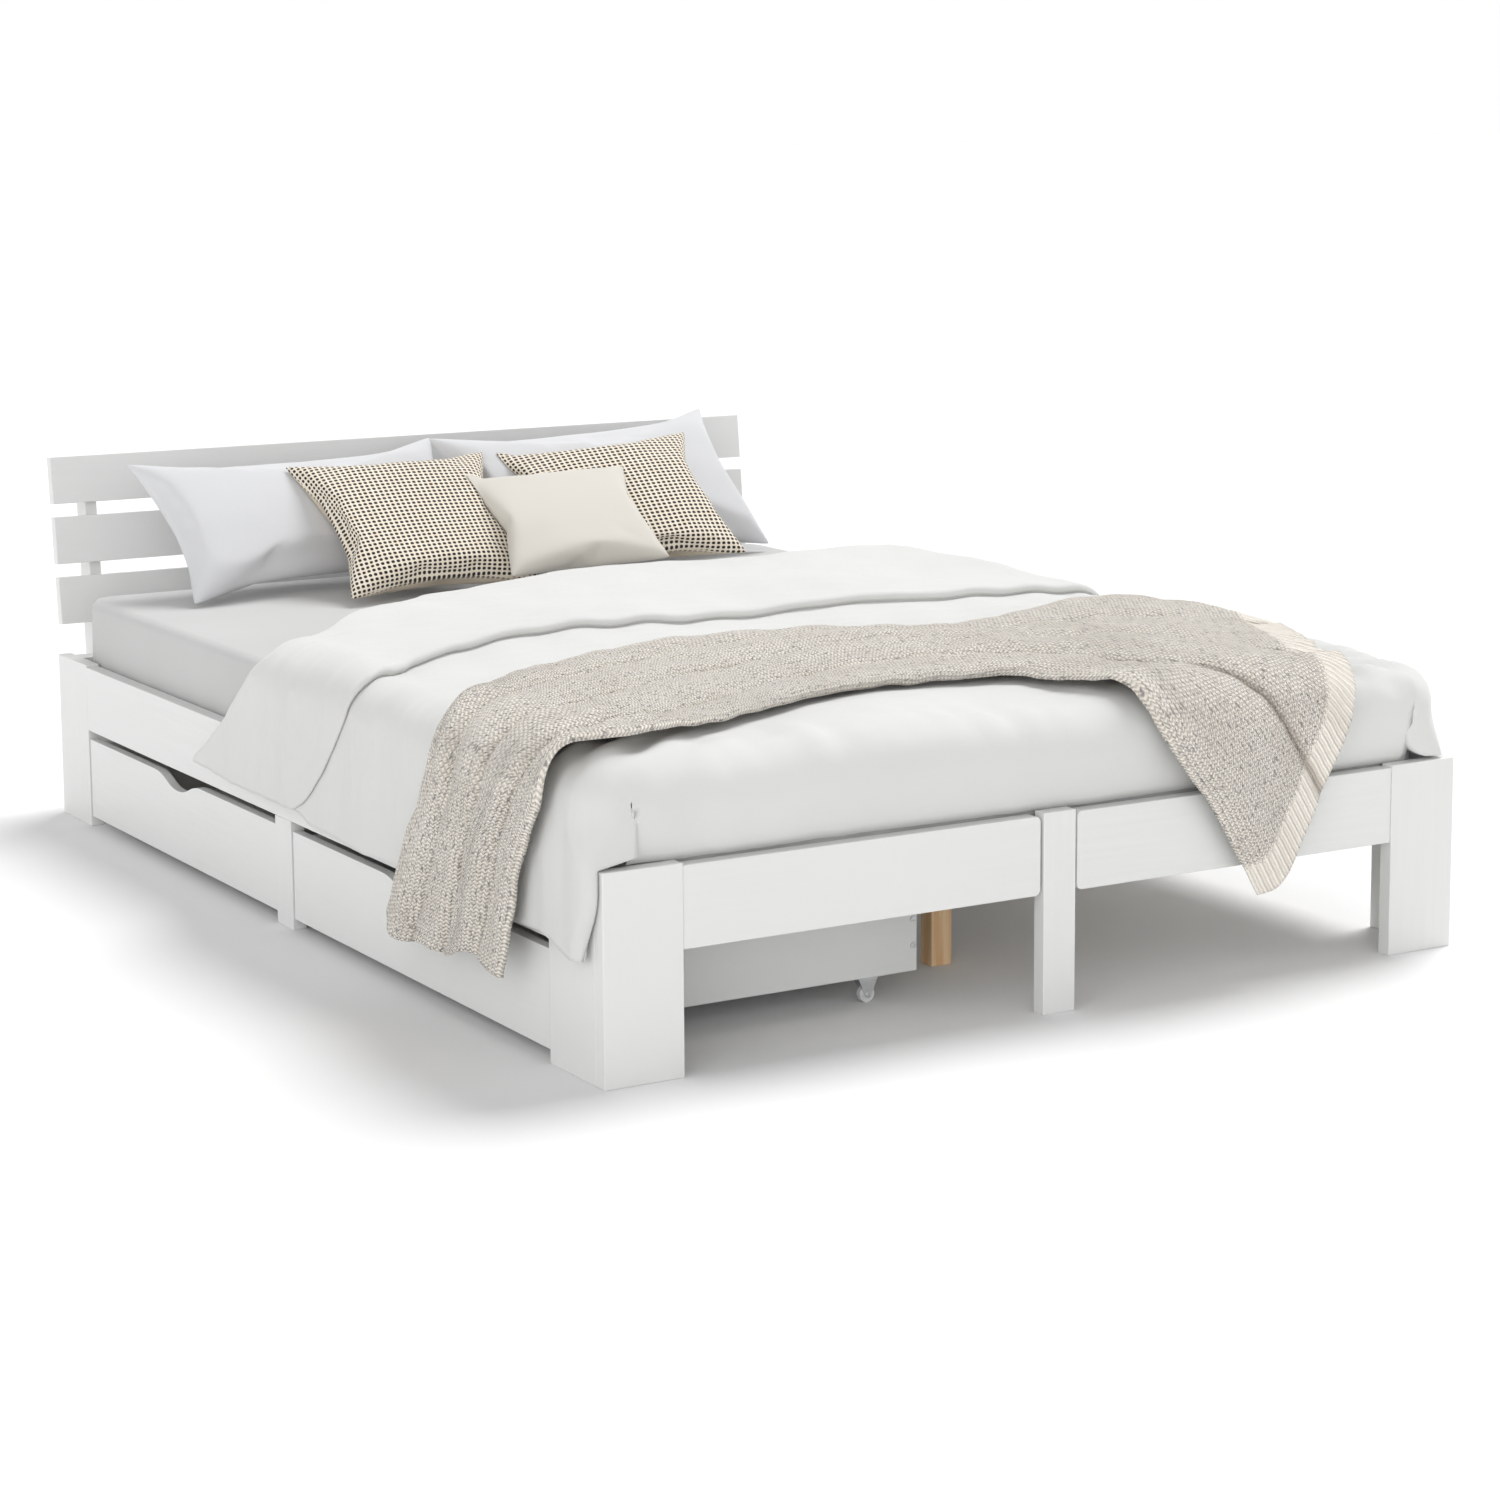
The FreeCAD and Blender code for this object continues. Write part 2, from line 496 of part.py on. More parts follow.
def drawer_front(label, middle, width):
    """A drawer front with its finger cut-out, about its own centre."""
    body = doc.addObject("PartDesign::Body", label)
    sketch = centred_rectangle(body, label + "_outline", "YZ_Plane", width, FRONT_HEIGHT)
    solid = pad(body, label + "_pad", sketch, "front_board", midplane=True)
    pocket = body.newObject("PartDesign::Pocket", label + "_grip")
    pocket.Profile = grip_sketch(body, label + "_grip_outline")
    pocket.Type = "ThroughAll"
    pocket.Midplane = True
    doc.recompute()
    if not pocket.Shape.Volume < solid.Shape.Volume:
        raise RuntimeError(f"{label}: the finger cut-out cut nothing")
    fillet(body, label + "_eased", pocket, "front_round")
    place(body, (f"-{HALF} + front_recess + front_board / 2", middle, f"front_bottom + {FRONT_HEIGHT} / 2"))
    keep(label, body)


def mirrored(label, sources, point, normal):
    """Mirror images of some objects in a plane whose position along its normal is bound."""
    images = []
    for index, source in enumerate(sources):
        image = doc.addObject("Part::Mirroring", f"{label}_{index}")
        image.Source = source
        image.Normal = normal
        axis = "x" if normal.x else "y"
        image.setExpression(f"Base.{axis}", formula(point))
        images.append(image)
    return images


def four_corners(label, source, middle_x, middle_y):
    """A group of four: the source in one corner of a drawer and its images in the others."""
    pair = [source] + mirrored(label + "_across", [source], middle_x, Vector(1, 0, 0))
    group = doc.addObject("Part::Compound", label)
    group.Links = pair + mirrored(label + "_along", pair, middle_y, Vector(0, 1, 0))
    return keep(label, group)


def cylinder(name, radius, length, at, rotation):
    """A cylinder whose axis leaves its bound place along the turned Z direction."""
    solid = doc.addObject("Part::Cylinder", name)
    bind(solid, Radius=radius, Height=length)
    place(solid, at, rotation)
    return solid


def fused(name, pieces):
    joined = doc.addObject("Part::MultiFuse", name)
    joined.Shapes = pieces
    return joined


def cut(name, base, tool):
    result = doc.addObject("Part::Cut", name)
    result.Base = base
    result.Tool = tool
    return result


ALONG_Y = Rotation(Vector(1, 0, 0), -90)
CHEEK_REACH = "((wheel_width + 2 * wheel_play) / 2)"


def caster_bracket(name, at_x, at_y):
    """A plate under the drawer with two tapering cheeks, pierced for the axle."""
    plate = doc.addObject("Part::Box", name + "_plate")
    bind(plate, Length="bracket_length", Width="bracket_width", Height="bracket_sheet")
    top = "box_bottom - bracket_sheet"
    place(plate, (f"{at_x} - bracket_length / 2", f"{at_y} - bracket_width / 2", top))
    pieces = [plate]
    for index, sign in enumerate((LEFT, RIGHT)):
        low_y = f"{at_y} - {CHEEK_REACH} - bracket_sheet" if sign == LEFT else f"{at_y} + {CHEEK_REACH}"
        cheek = doc.addObject("Part::Wedge", f"{name}_cheek_{index}")
        # the wedge tapers along its own Y, which points down once the wedge is turned
        bind(cheek, Xmin="-cheek_top / 2", Xmax="cheek_top / 2",
             X2min="-cheek_tip / 2", X2max="cheek_tip / 2",
             Ymin="0", Ymax=f"{top} - wheel_radius",
             Zmin="0", Zmax="bracket_sheet", Z2min="0", Z2max="bracket_sheet")
        place(cheek, (at_x, low_y, top), ALONG_Y)
        boss = cylinder(f"{name}_boss_{index}", "cheek_tip / 2", "bracket_sheet",
                        (at_x, low_y, "wheel_radius"), ALONG_Y)
        pieces += [cheek, boss]
    hole = cylinder(name + "_hole", "axle_radius", "bracket_width",
                    (at_x, f"{at_y} - bracket_width / 2", "wheel_radius"), ALONG_Y)
    return cut(name, fused(name + "_sheet", pieces), hole)


def caster_axle(name, at_x, at_y):
    """A riveted pin through both cheeks."""
    reach = f"({CHEEK_REACH} + bracket_sheet)"
    pin = cylinder(name + "_pin", "axle_radius", f"2 * {reach}",
                   (at_x, f"{at_y} - {reach}", "wheel_radius"), ALONG_Y)
    heads = [cylinder(f"{name}_head_{index}", "rivet_radius", "bracket_sheet",
                      (at_x, low_y, "wheel_radius"), ALONG_Y)
             for index, low_y in enumerate((f"{at_y} - {reach} - bracket_sheet", f"{at_y} + {reach}"))]
    return fused(name, [pin] + heads)


def wheel(label, at_x, at_y):
    body = doc.addObject("PartDesign::Body", label)
    sketch = new_sketch(body, label + "_outline", "XZ_Plane")
    circles = ((sheet.wheel_radius, "wheel_radius"), (sheet.axle_radius, "axle_radius + axle_play"))
    for radius, text in circles:
        circle = sketch.addGeometry(Part.Circle(Vector(), Vector(0, 0, 1), radius), False)
        sketch.addConstraint(Sketcher.Constraint("Coincident", circle, 3, -1, 1))
        row = sketch.addConstraint(Sketcher.Constraint("Radius", circle, radius))
        sketch.setExpression(f"Constraints[{row}]", formula(text))
    solid = pad(body, label + "_pad", sketch, "wheel_width", midplane=True)
    rims = edge_numbers(solid, lambda edge: len(edge.Vertexes) == 1
                        and abs(edge.Curve.Radius - sheet.wheel_radius) < 0.01)
    fillet(body, label + "_rim", solid, "wheel_round", rims)
    place(body, (at_x, at_y, "wheel_radius"))
    keep(label, body)


def drawer_screws(name, at_x, at_y, middle):
    """Two button-head screws in each back corner of a drawer; returns what their shanks displace."""
    shanks = []
    screws = []
    for index in (1, 2):
        spot = f"screw_{name}_{index}"
        height = f"box_bottom + {BOX_HEIGHT} * {index} / 3"
        shank = cylinder(spot + "_shank", "screw_shank", "screw_length", (at_x, at_y, height), ALONG_Y)
        face = (at_x, f"{at_y} - screw_proud", height)
        head = cylinder(spot + "_head", "screw_head", "screw_proud", face, ALONG_Y)
        socket = cylinder(spot + "_socket", "screw_socket", "screw_proud", face, ALONG_Y)
        shanks.append(shank)
        screws.append(cut(spot, fused(spot + "_blank", [shank, head]), socket))
    group = doc.addObject("Part::Compound", f"drawer_screws_{name}")
    group.Links = screws + mirrored(f"screw_image_{name}", screws, middle, Vector(0, 1, 0))
    keep(f"drawer_screws_{name}", group)
    images = mirrored(f"shank_image_{name}", shanks, middle, Vector(0, 1, 0))
    return fused(f"screw_holes_{name}", shanks + images)


def drawer(name, start, end):
    """A rolling drawer whose front fills the bay between two distances from the foot end."""
    middle = f"({FOOT_Y} + ({start} + {end}) / 2)"
    inner_x = f"(-{HALF} + front_recess + front_board)"
    back_x = f"(-{HALF} + {BOX_REACH})"
    near_y = f"({middle} - {BOX_WIDTH} / 2)"
    length = f"({BOX_REACH} - front_recess - front_board)"
    inside = f"({BOX_WIDTH} - 2 * box_board)"
    drawer_front(f"drawer_front_{name}", middle, f"({end} - {start} - 2 * front_gap)")
    holes = drawer_screws(name, f"{back_x} - box_board / 2", near_y, middle)
    panels = (
        (f"drawer_side_near_{name}", (length, "box_board", BOX_HEIGHT), (inner_x, near_y, "box_bottom")),
        (f"drawer_side_far_{name}", (length, "box_board", BOX_HEIGHT),
         (inner_x, f"{near_y} + {BOX_WIDTH} - box_board", "box_bottom")),
        (f"drawer_back_{name}", ("box_board", inside, BOX_HEIGHT),
         (f"{back_x} - box_board", f"{near_y} + box_board", "box_bottom")),
    )
    for label, size, at in panels:
        blank = board(label + "_blank", size, at)
        del parts[label + "_blank"]
        keep(label, cut(label, blank, holes))
    board(f"drawer_bottom_{name}", (f"{length} - box_board", inside, "panel"),
          (inner_x, f"{near_y} + box_board", "box_bottom"), "panel_round")
    first_x = f"({inner_x} + caster_inset_x)"
    last_x = f"({back_x} - caster_inset_x)"
    first_y = f"({near_y} + caster_inset_y)"
    last_y = f"({near_y} + {BOX_WIDTH} - caster_inset_y)"
    middle_x = f"({first_x} + {last_x}) / 2"
    bracket = caster_bracket(f"bracket_{name}", first_x, first_y)
    axle = caster_axle(f"axle_{name}", first_x, first_y)
    four_corners(f"caster_brackets_{name}", bracket, middle_x, middle)
    four_corners(f"caster_axles_{name}", axle, middle_x, middle)
    for row, at_y in (("near", first_y), ("far", last_y)):
        for column, at_x in (("front", first_x), ("back", last_x)):
            wheel(f"wheel_{name}_{row}_{column}", at_x, at_y)


# ---------------------------------------------------------------- bedding
def mattress():
    body = doc.addObject("PartDesign::Body", "mattress")
    sketch = centred_rectangle(body, "mattress_outline", "XY_Plane", "mattress_width", "mattress_length")
    solid = pad(body, "mattress_pad", sketch, "mattress_thickness")
    corners = edge_numbers(solid, lambda edge: along(edge, Vector(0, 0, 1)))
    rounded = fillet(body, "mattress_corners", solid, "mattress_corner", corners)
    rims = edge_numbers(rounded, lambda edge: edge.BoundBox.ZLength < 0.01)
    fillet(body, "mattress_rims", rounded, "mattress_edge", rims)
    place(body, ("0", f"{MATTRESS_START} + mattress_length / 2", MATTRESS_BOTTOM))
    keep("mattress", body)


def box(name, low, high):
    """A box between two bound corners."""
    solid = doc.addObject("Part::Box", name)
    sizes = [f"({far}) - ({near})" for near, far in zip(low, high)]
    bind(solid, Length=sizes[0], Width=sizes[1], Height=sizes[2])
    place(solid, low)
    return solid


def prism(name, plane, corners, depth, at):
    """A prism on a polygon whose corners are all at 0 or more from its bound place."""
    body = doc.addObject("PartDesign::Body", name)
    pad(body, name + "_pad", outline(body, name + "_outline", plane, corners), depth)
    place(body, at)
    return body


def slab(name, start, low, high):
    """A slab of the duvet from a distance along the bed up to its slanted head-side edge."""
    wide = f"(2 * {DUVET_SIDE})"
    corners = (("0", "0"), (wide, "0"), (wide, f"{DUVET_END} - ({start})"),
               ("0", f"{DUVET_END} - duvet_skew - ({start})"))
    return prism(name, "XY_Plane", corners, f"{high} - ({low})", (f"-{DUVET_SIDE}", start, low))


def duvet():
    """The duvet covers the mattress and hangs outside both side rails, with a turned-back band."""
    hem = f"{RAIL_BOTTOM} + duvet_hem_rise"
    bed = f"({HALF} + air_gap)"
    inside = "(mattress_width / 2 + air_gap)"
    cover = slab("duvet_cover", f"{FOOT_Y} + air_gap", hem, DUVET_TOP)
    band = slab("duvet_band", f"{FOOT_Y} + {FOLD_START}", hem, f"{DUVET_TOP} + duvet_fold")
    frame_room = box("duvet_frame_room", (f"-{bed}", f"{FOOT_Y} - beyond", "0"),
                     (bed, f"{DUVET_END} + beyond", f"{POST_HEIGHT} + air_gap"))
    mattress_room = box("duvet_mattress_room", (f"-{inside}", f"{MATTRESS_START} - air_gap", "0"),
                        (inside, f"{DUVET_END} + beyond", f"{MATTRESS_TOP} + air_gap"))
    draped = cut("duvet_draped", fused("duvet_blank", [cover, band]),
                 fused("duvet_room", [frame_room, mattress_room]))
    # the right corner at the foot is tucked in, so the hanging part starts behind the post
    corner = box("duvet_corner_room", (bed, f"{FOOT_Y} - beyond", "0"),
                 (f"{DUVET_SIDE} + beyond", f"{FOOT_Y} + foot_post_depth", f"{DUVET_TOP} + beyond"))
    keep("duvet", cut("duvet", draped, corner))


def throw():
    """A gathered throw from the left side across the bed to the foot rail, with three drapes."""
    low = f"({DUVET_TOP} + air_gap)"
    high = f"({low} + throw_sheet)"
    outer = f"({DUVET_SIDE} + air_gap + throw_drape)"
    inner = f"({DUVET_SIDE} + air_gap)"
    proud = "(air_gap + throw_drape)"
    cover = prism("throw_cover", "XY_Plane",
                  (("0", f"{proud} + throw_top_near"),
                   (f"{outer} - throw_hollow_left", f"{proud} + throw_hollow"),
                   (f"{outer} + throw_hollow_right", f"{proud} + throw_hollow"),
                   (f"{outer} + throw_turn", "0"),
                   (f"{outer} + throw_turn + throw_tongue", "0"),
                   (f"2 * {outer}", f"{proud} + throw_right_near"),
                   (f"2 * {outer}", f"{proud} + throw_back"),
                   (f"{outer} - throw_back_left", f"{proud} + throw_back"),
                   ("0", f"{proud} + throw_top_far")),
                  "throw_sheet", (f"-{outer}", f"{FOOT_Y} - {proud}", low))
    # the left drape slants towards the head as it falls; the share of its fall down to the cut
    share = f"(({high} - {THROW_CUT}) / ({high} - {THROW_TIP}))"
    left = prism("throw_left", "YZ_Plane",
                 ((f"(throw_near - throw_top_near) * {share}", "0"),
                  (f"throw_top_far - throw_top_near + (throw_far - throw_top_far) * {share}", "0"),
                  ("throw_top_far - throw_top_near", f"{high} - {THROW_CUT}"),
                  ("0", f"{high} - {THROW_CUT}")),
                 "throw_drape", (f"-{outer}", f"{FOOT_Y} + throw_top_near", THROW_CUT))
    right = box("throw_right", (inner, f"{FOOT_Y} + throw_right_near", "rail_top"),
                (outer, f"{FOOT_Y} + throw_back", high))
    tip = f"({THROW_TIP} + throw_tongue_rise)"
    tongue = prism("throw_tongue_piece", "XZ_Plane",
                   (("0", f"{high} - {tip}"), ("throw_tongue_slant", f"rail_top - {tip}"),
                    ("throw_tongue_reach", "0"), ("throw_tongue_reach + throw_tongue_tip", "0"),
                    ("throw_tongue_slant + throw_tongue_low", f"rail_top - {tip}"),
                    ("throw_tongue", f"{high} - {tip}")),
                   "throw_drape", ("throw_turn", f"{FOOT_Y} - air_gap", tip))
    keep("throw", fused("throw", [cover, left, right, tongue]))
    keep("throw_side_drape",
         box("throw_side_drape", (f"-{outer}", f"{FOOT_Y} + throw_near", THROW_TIP),
             (f"-{inner}", f"{FOOT_Y} + throw_far", THROW_CUT)))


def cushion(label, size, across, along_bed, yaw, lift="0"):
    """A cushion that leans back and rests on the mattress, turned about the vertical."""
    body = doc.addObject("PartDesign::Body", label)
    width, height, depth, lean = size
    sketch = centred_rectangle(body, label + "_outline", "XZ_Plane", width, height)
    solid = pad(body, label + "_pad", sketch, depth, midplane=True)
    fillet(body, label + "_rounded", solid, f"cushion_round * {depth}")
    turn = Rotation(Vector(0, 0, 1), yaw) * Rotation(Vector(1, 0, 0), -sheet.getPropertyByName(lean))
    centre_z = f"{MATTRESS_TOP} + {cushion_reach(size, 'cos')} + seat_clear + {lift}"
    place(body, (across, along_bed, centre_z), turn)
    keep(label, body)


def cushions():
    for side, name in SIDES:
        cushion(f"pillow_{name}", PILLOW, f"{side} * (pillow_width + pillow_between) / 2", PILLOW_Y,
                sheet.pillow_yaw)
        cushion(f"check_cushion_{name}", CHECK, f"check_aside + {side} * (check_size + check_between) / 2",
                f"{CHECK_Y} - {side} * check_step", sheet.check_yaw)
    cushion("plain_cushion", PLAIN, "plain_aside", PLAIN_Y, sheet.plain_yaw, "plain_lift")


def write():
    """Check every object, then write each sub-part to its own file."""
    doc.recompute()
    for item in doc.Objects:
        if "Invalid" in item.State or "Error" in item.State:
            raise RuntimeError(f"{item.Label} could not be computed: {item.State}")
    for label, target in parts.items():
        if target.Shape.isNull() or not target.Shape.isValid() or not target.Shape.Solids:
            raise RuntimeError(f"{label} has no valid solid")
    os.makedirs("parts", exist_ok=True)
    for label, target in parts.items():
        target.Shape.exportStep(os.path.join("parts", label + ".step"))
    print(len(parts), "sub-parts written")


frame_boards()
for side, name in SIDES:
    foot_rail(side, name)
mattress_base()
headboard()
drawer("foot", "foot_post_depth", f"({SIDE_LEG} - side_leg_width / 2)")
drawer("head", f"({SIDE_LEG} + side_leg_width / 2)", f"({BED_LENGTH} - head_post_depth)")
mattress()
duvet()
throw()
cushions()
write()
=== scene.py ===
import math

import bmesh
import bpy
import numpy as np
from mathutils import Matrix, Vector
from mathutils.bvhtree import BVHTree


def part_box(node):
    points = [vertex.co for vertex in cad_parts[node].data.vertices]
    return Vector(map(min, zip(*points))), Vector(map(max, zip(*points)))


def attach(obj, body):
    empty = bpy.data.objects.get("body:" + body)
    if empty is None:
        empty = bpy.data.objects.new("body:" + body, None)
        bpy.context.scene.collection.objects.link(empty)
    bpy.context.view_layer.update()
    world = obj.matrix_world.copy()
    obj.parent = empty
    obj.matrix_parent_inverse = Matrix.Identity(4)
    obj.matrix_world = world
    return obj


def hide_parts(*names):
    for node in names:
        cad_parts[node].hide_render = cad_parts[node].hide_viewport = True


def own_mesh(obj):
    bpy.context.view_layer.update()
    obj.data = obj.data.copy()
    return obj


# Platform bed with two rolling drawers, made up with bedding. Metres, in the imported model's own frame:
# +X to the right as seen from the foot end, +Y towards the headboard, +Z up.

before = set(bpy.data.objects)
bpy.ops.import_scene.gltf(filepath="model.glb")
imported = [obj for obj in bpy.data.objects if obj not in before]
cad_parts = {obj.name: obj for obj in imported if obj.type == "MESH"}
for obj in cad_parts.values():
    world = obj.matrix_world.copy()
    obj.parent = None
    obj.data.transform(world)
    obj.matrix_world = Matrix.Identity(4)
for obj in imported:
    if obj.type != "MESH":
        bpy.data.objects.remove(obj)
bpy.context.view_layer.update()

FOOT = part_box("foot_post_left")[0].y
MATTRESS_LOW, MATTRESS_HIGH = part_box("mattress")
DUVET_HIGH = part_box("duvet")[1]
POST_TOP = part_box("foot_post_left")[1].z
SIDE = DUVET_HIGH.x - 0.001


# ---------------------------------------------------------------- camera, light and floor
def look_from(location, yaw, pitch, roll):
    """A camera frame that looks along a yaw from +Y towards +X, with a pitch and a roll."""
    forward = Vector((math.sin(yaw) * math.cos(pitch), math.cos(yaw) * math.cos(pitch), math.sin(pitch)))
    level = Vector((math.cos(yaw), -math.sin(yaw), 0.0))
    upright = level.cross(forward)
    right = level * math.cos(roll) + upright * math.sin(roll)
    up = upright * math.cos(roll) - level * math.sin(roll)
    turn = Matrix((right, up, -forward)).transposed()
    return Matrix.Translation(location) @ turn.to_4x4()


CAMERA_PLACE = Vector((-2.78368, -4.92849, 1.30118))
CAMERA_YAW, CAMERA_PITCH, CAMERA_ROLL = 0.53434, -0.14821, -0.00644
CAMERA_LENS, CAMERA_SENSOR, CAMERA_SHIFT_UP = 82.54, 36.0, -0.10


def make_camera():
    data = bpy.data.cameras.new("camera")
    data.sensor_width = CAMERA_SENSOR
    data.lens = CAMERA_LENS
    data.shift_y = CAMERA_SHIFT_UP
    data.clip_end = 100.0
    camera = bpy.data.objects.new("camera", data)
    camera.matrix_world = look_from(CAMERA_PLACE, CAMERA_YAW, CAMERA_PITCH, CAMERA_ROLL)
    bpy.context.scene.collection.objects.link(camera)
    bpy.context.scene.camera = camera


def sun(name, towards, strength, spread):
    """A distant soft lamp that shines along a direction; its spread is its angle in the sky, in degrees."""
    data = bpy.data.lights.new(name, "SUN")
    data.energy = strength
    data.angle = math.radians(spread)
    lamp = bpy.data.objects.new(name, data)
    lamp.rotation_euler = Vector(towards).to_track_quat("-Z", "Y").to_euler()
    bpy.context.scene.collection.objects.link(lamp)


def make_studio():
    """A studio that is white all round and dimmer overhead, with a wide white floor and two soft lamps."""
    world = bpy.data.worlds.new("studio")
    bpy.context.scene.world = world
    world.use_nodes = True
    tree = world.node_tree
    sky = tree.nodes["Background"]
    sky.inputs["Color"].default_value = (1.0, 1.0, 1.0, 1.0)
    height = node(tree, "ShaderNodeSeparateXYZ", {"Vector": place_in(tree, "Generated")}).outputs["Z"]
    tree.links.new(fade(tree, height, 0.20, 0.75, 1.0, 0.35), sky.inputs["Strength"])
    sun("key", (-0.50, -0.22, -0.84), 2.5, 30.0)
    sun("fill", (0.66, 0.62, -0.42), 0.95, 60.0)
    bpy.context.scene.view_settings.view_transform = "Standard"
    mesh = bpy.data.meshes.new("floor")
    reach = 60.0
    mesh.from_pydata([(-reach, -reach, 0), (reach, -reach, 0), (reach, reach, 0), (-reach, reach, 0)],
                     [], [(0, 1, 2, 3)])
    floor = bpy.data.objects.new("floor", mesh)
    bpy.context.scene.collection.objects.link(floor)
    material, tree, shader = new_material("floor")
    shader.inputs["Base Color"].default_value = (0.86, 0.86, 0.86, 1.0)
    shader.inputs["Roughness"].default_value = 0.9
    shader.inputs["Specular IOR Level"].default_value = 0.1
    mesh.materials.append(material)


# ---------------------------------------------------------------- materials
def new_material(name):
    material = bpy.data.materials.new(name)
    material.use_nodes = True
    tree = material.node_tree
    return material, tree, tree.nodes["Principled BSDF"]


def node(tree, kind, inputs=None, **settings):
    """A shader node with its settings and inputs; an input is a number, a colour or another socket."""
    made = tree.nodes.new(kind)
    for name, value in settings.items():
        setattr(made, name, value)
    for name, value in (inputs or {}).items():
        if isinstance(value, bpy.types.NodeSocket):
            tree.links.new(value, made.inputs[name])
        else:
            made.inputs[name].default_value = value
    return made


def noise(tree, vector, scale, detail=3.0, rough=0.5, distortion=0.0):
    return node(tree, "ShaderNodeTexNoise", {"Vector": vector, "Scale": scale, "Detail": detail,
                                             "Roughness": rough, "Distortion": distortion}).outputs["Fac"]


def math_node(tree, kind, first, second=None):
    values = {0: first} if second is None else {0: first, 1: second}
    return node(tree, "ShaderNodeMath", values, operation=kind).outputs[0]


def sine(tree, distance, pitch):
    """A sine wave of a given pitch along a distance, both in metres."""
    return math_node(tree, "SINE", math_node(tree, "MULTIPLY", distance, math.tau / pitch))


def stretch(tree, vector, scale, turn=(0.0, 0.0, 0.0)):
    return node(tree, "ShaderNodeMapping", {"Vector": vector, "Scale": scale, "Rotation": turn}).outputs[0]


def between(tree, factor, first, second):
    """A colour between two others; each is a plain colour or another node's socket."""
    first, second = [(*end, 1.0) if isinstance(end, tuple) else end for end in (first, second)]
    return node(tree, "ShaderNodeMix", {0: factor, 6: first, 7: second}, data_type="RGBA").outputs[2]


def fade(tree, value, low, high, to_low=0.0, to_high=1.0):
    return node(tree, "ShaderNodeMapRange", {"Value": value, "From Min": low, "From Max": high,
                                             "To Min": to_low, "To Max": to_high}).outputs[0]


def place_in(tree, kind="Object"):
    return node(tree, "ShaderNodeTexCoord").outputs[kind]


def bump(tree, shader, layers):
    """Chained bumps, from coarse to fine: each is a height, a strength and a distance in metres."""
    normal = None
    for height, strength, distance in layers:
        made = node(tree, "ShaderNodeBump", {"Height": height, "Strength": strength, "Distance": distance})
        if normal is not None:
            tree.links.new(normal, made.inputs["Normal"])
        normal = made.outputs[0]
    tree.links.new(normal, shader.inputs["Normal"])


def lacquer(name, colour, grain_axis):
    """Satin paint on wood: a faint relief of grain and brush marks, and an uneven sheen."""
    material, tree, shader = new_material(name)
    where = place_in(tree)
    scale = [34.0, 34.0, 34.0]
    scale[grain_axis] = 1.6
    along_grain = stretch(tree, where, scale)
    grain = noise(tree, along_grain, 4.0, 5.0, 0.6)
    mottle = noise(tree, where, 2.2, 2.0)
    orange_peel = noise(tree, where, 420.0, 2.0)
    shade = tuple(channel * 0.965 for channel in colour)
    mixed = math_node(tree, "MULTIPLY", fade(tree, mottle, 0.35, 0.65), fade(tree, grain, 0.3, 0.7))
    tree.links.new(between(tree, mixed, colour, shade), shader.inputs["Base Color"])
    tree.links.new(fade(tree, grain, 0.3, 0.7, 0.36, 0.46), shader.inputs["Roughness"])
    shader.inputs["Specular IOR Level"].default_value = 0.42
    bump(tree, shader, ((grain, 0.16, 0.0006), (orange_peel, 0.05, 0.0003)))
    return material


def bare_pine(name, grain_axis, early=(0.93, 0.68, 0.42), late=(0.82, 0.52, 0.27), fleck=(0.60, 0.34, 0.15)):
    """Unpainted softwood: growth rings and fine fibres along the grain axis."""
    material, tree, shader = new_material(name)
    where = place_in(tree)
    scale = [9.0, 9.0, 9.0]
    scale[grain_axis] = 0.6
    grained = stretch(tree, where, scale)
    rings = node(tree, "ShaderNodeTexWave", {"Vector": grained, "Scale": 3.4, "Distortion": 4.5, "Detail": 3.0,
                                             "Detail Scale": 1.3}, wave_type="BANDS",
                 bands_direction="DIAGONAL").outputs["Fac"]
    fine_scale = [160.0, 160.0, 160.0]
    fine_scale[grain_axis] = 6.0
    fibre = noise(tree, stretch(tree, where, fine_scale), 2.0, 4.0)
    colour = between(tree, fade(tree, rings, 0.25, 0.9), late, early)
    fine = between(tree, fade(tree, fibre, 0.35, 0.75, 0.0, 0.22), colour, fleck)
    tree.links.new(fine, shader.inputs["Base Color"])
    tree.links.new(fade(tree, fibre, 0.3, 0.7, 0.5, 0.65), shader.inputs["Roughness"])
    bump(tree, shader, ((rings, 0.15, 0.0008), (fibre, 0.25, 0.0005)))
    return material


def metal(name):
    """Zinc-plated steel, a little spotted and scratched."""
    material, tree, shader = new_material(name)
    where = place_in(tree)
    scratches = noise(tree, stretch(tree, where, (30.0, 900.0, 900.0)), 1.0, 4.0)
    spots = noise(tree, where, 60.0, 3.0)
    tree.links.new(between(tree, fade(tree, spots, 0.3, 0.7), (0.60, 0.61, 0.62), (0.75, 0.76, 0.77)),
                   shader.inputs["Base Color"])
    tree.links.new(fade(tree, scratches, 0.3, 0.7, 0.24, 0.42), shader.inputs["Roughness"])
    shader.inputs["Metallic"].default_value = 1.0
    bump(tree, shader, ((scratches, 0.1, 0.0002),))
    return material


def plastic(name):
    """Pale moulded plastic with a faint haze."""
    material, tree, shader = new_material(name)
    where = place_in(tree)
    haze = noise(tree, where, 70.0, 3.0)
    tree.links.new(between(tree, fade(tree, haze, 0.3, 0.7), (0.66, 0.67, 0.66), (0.80, 0.80, 0.79)),
                   shader.inputs["Base Color"])
    tree.links.new(fade(tree, haze, 0.3, 0.7, 0.25, 0.4), shader.inputs["Roughness"])
    shader.inputs["Subsurface Weight"].default_value = 0.15
    shader.inputs["Subsurface Radius"].default_value = (0.004, 0.004, 0.004)
    bump(tree, shader, ((haze, 0.1, 0.0003),))
    return material


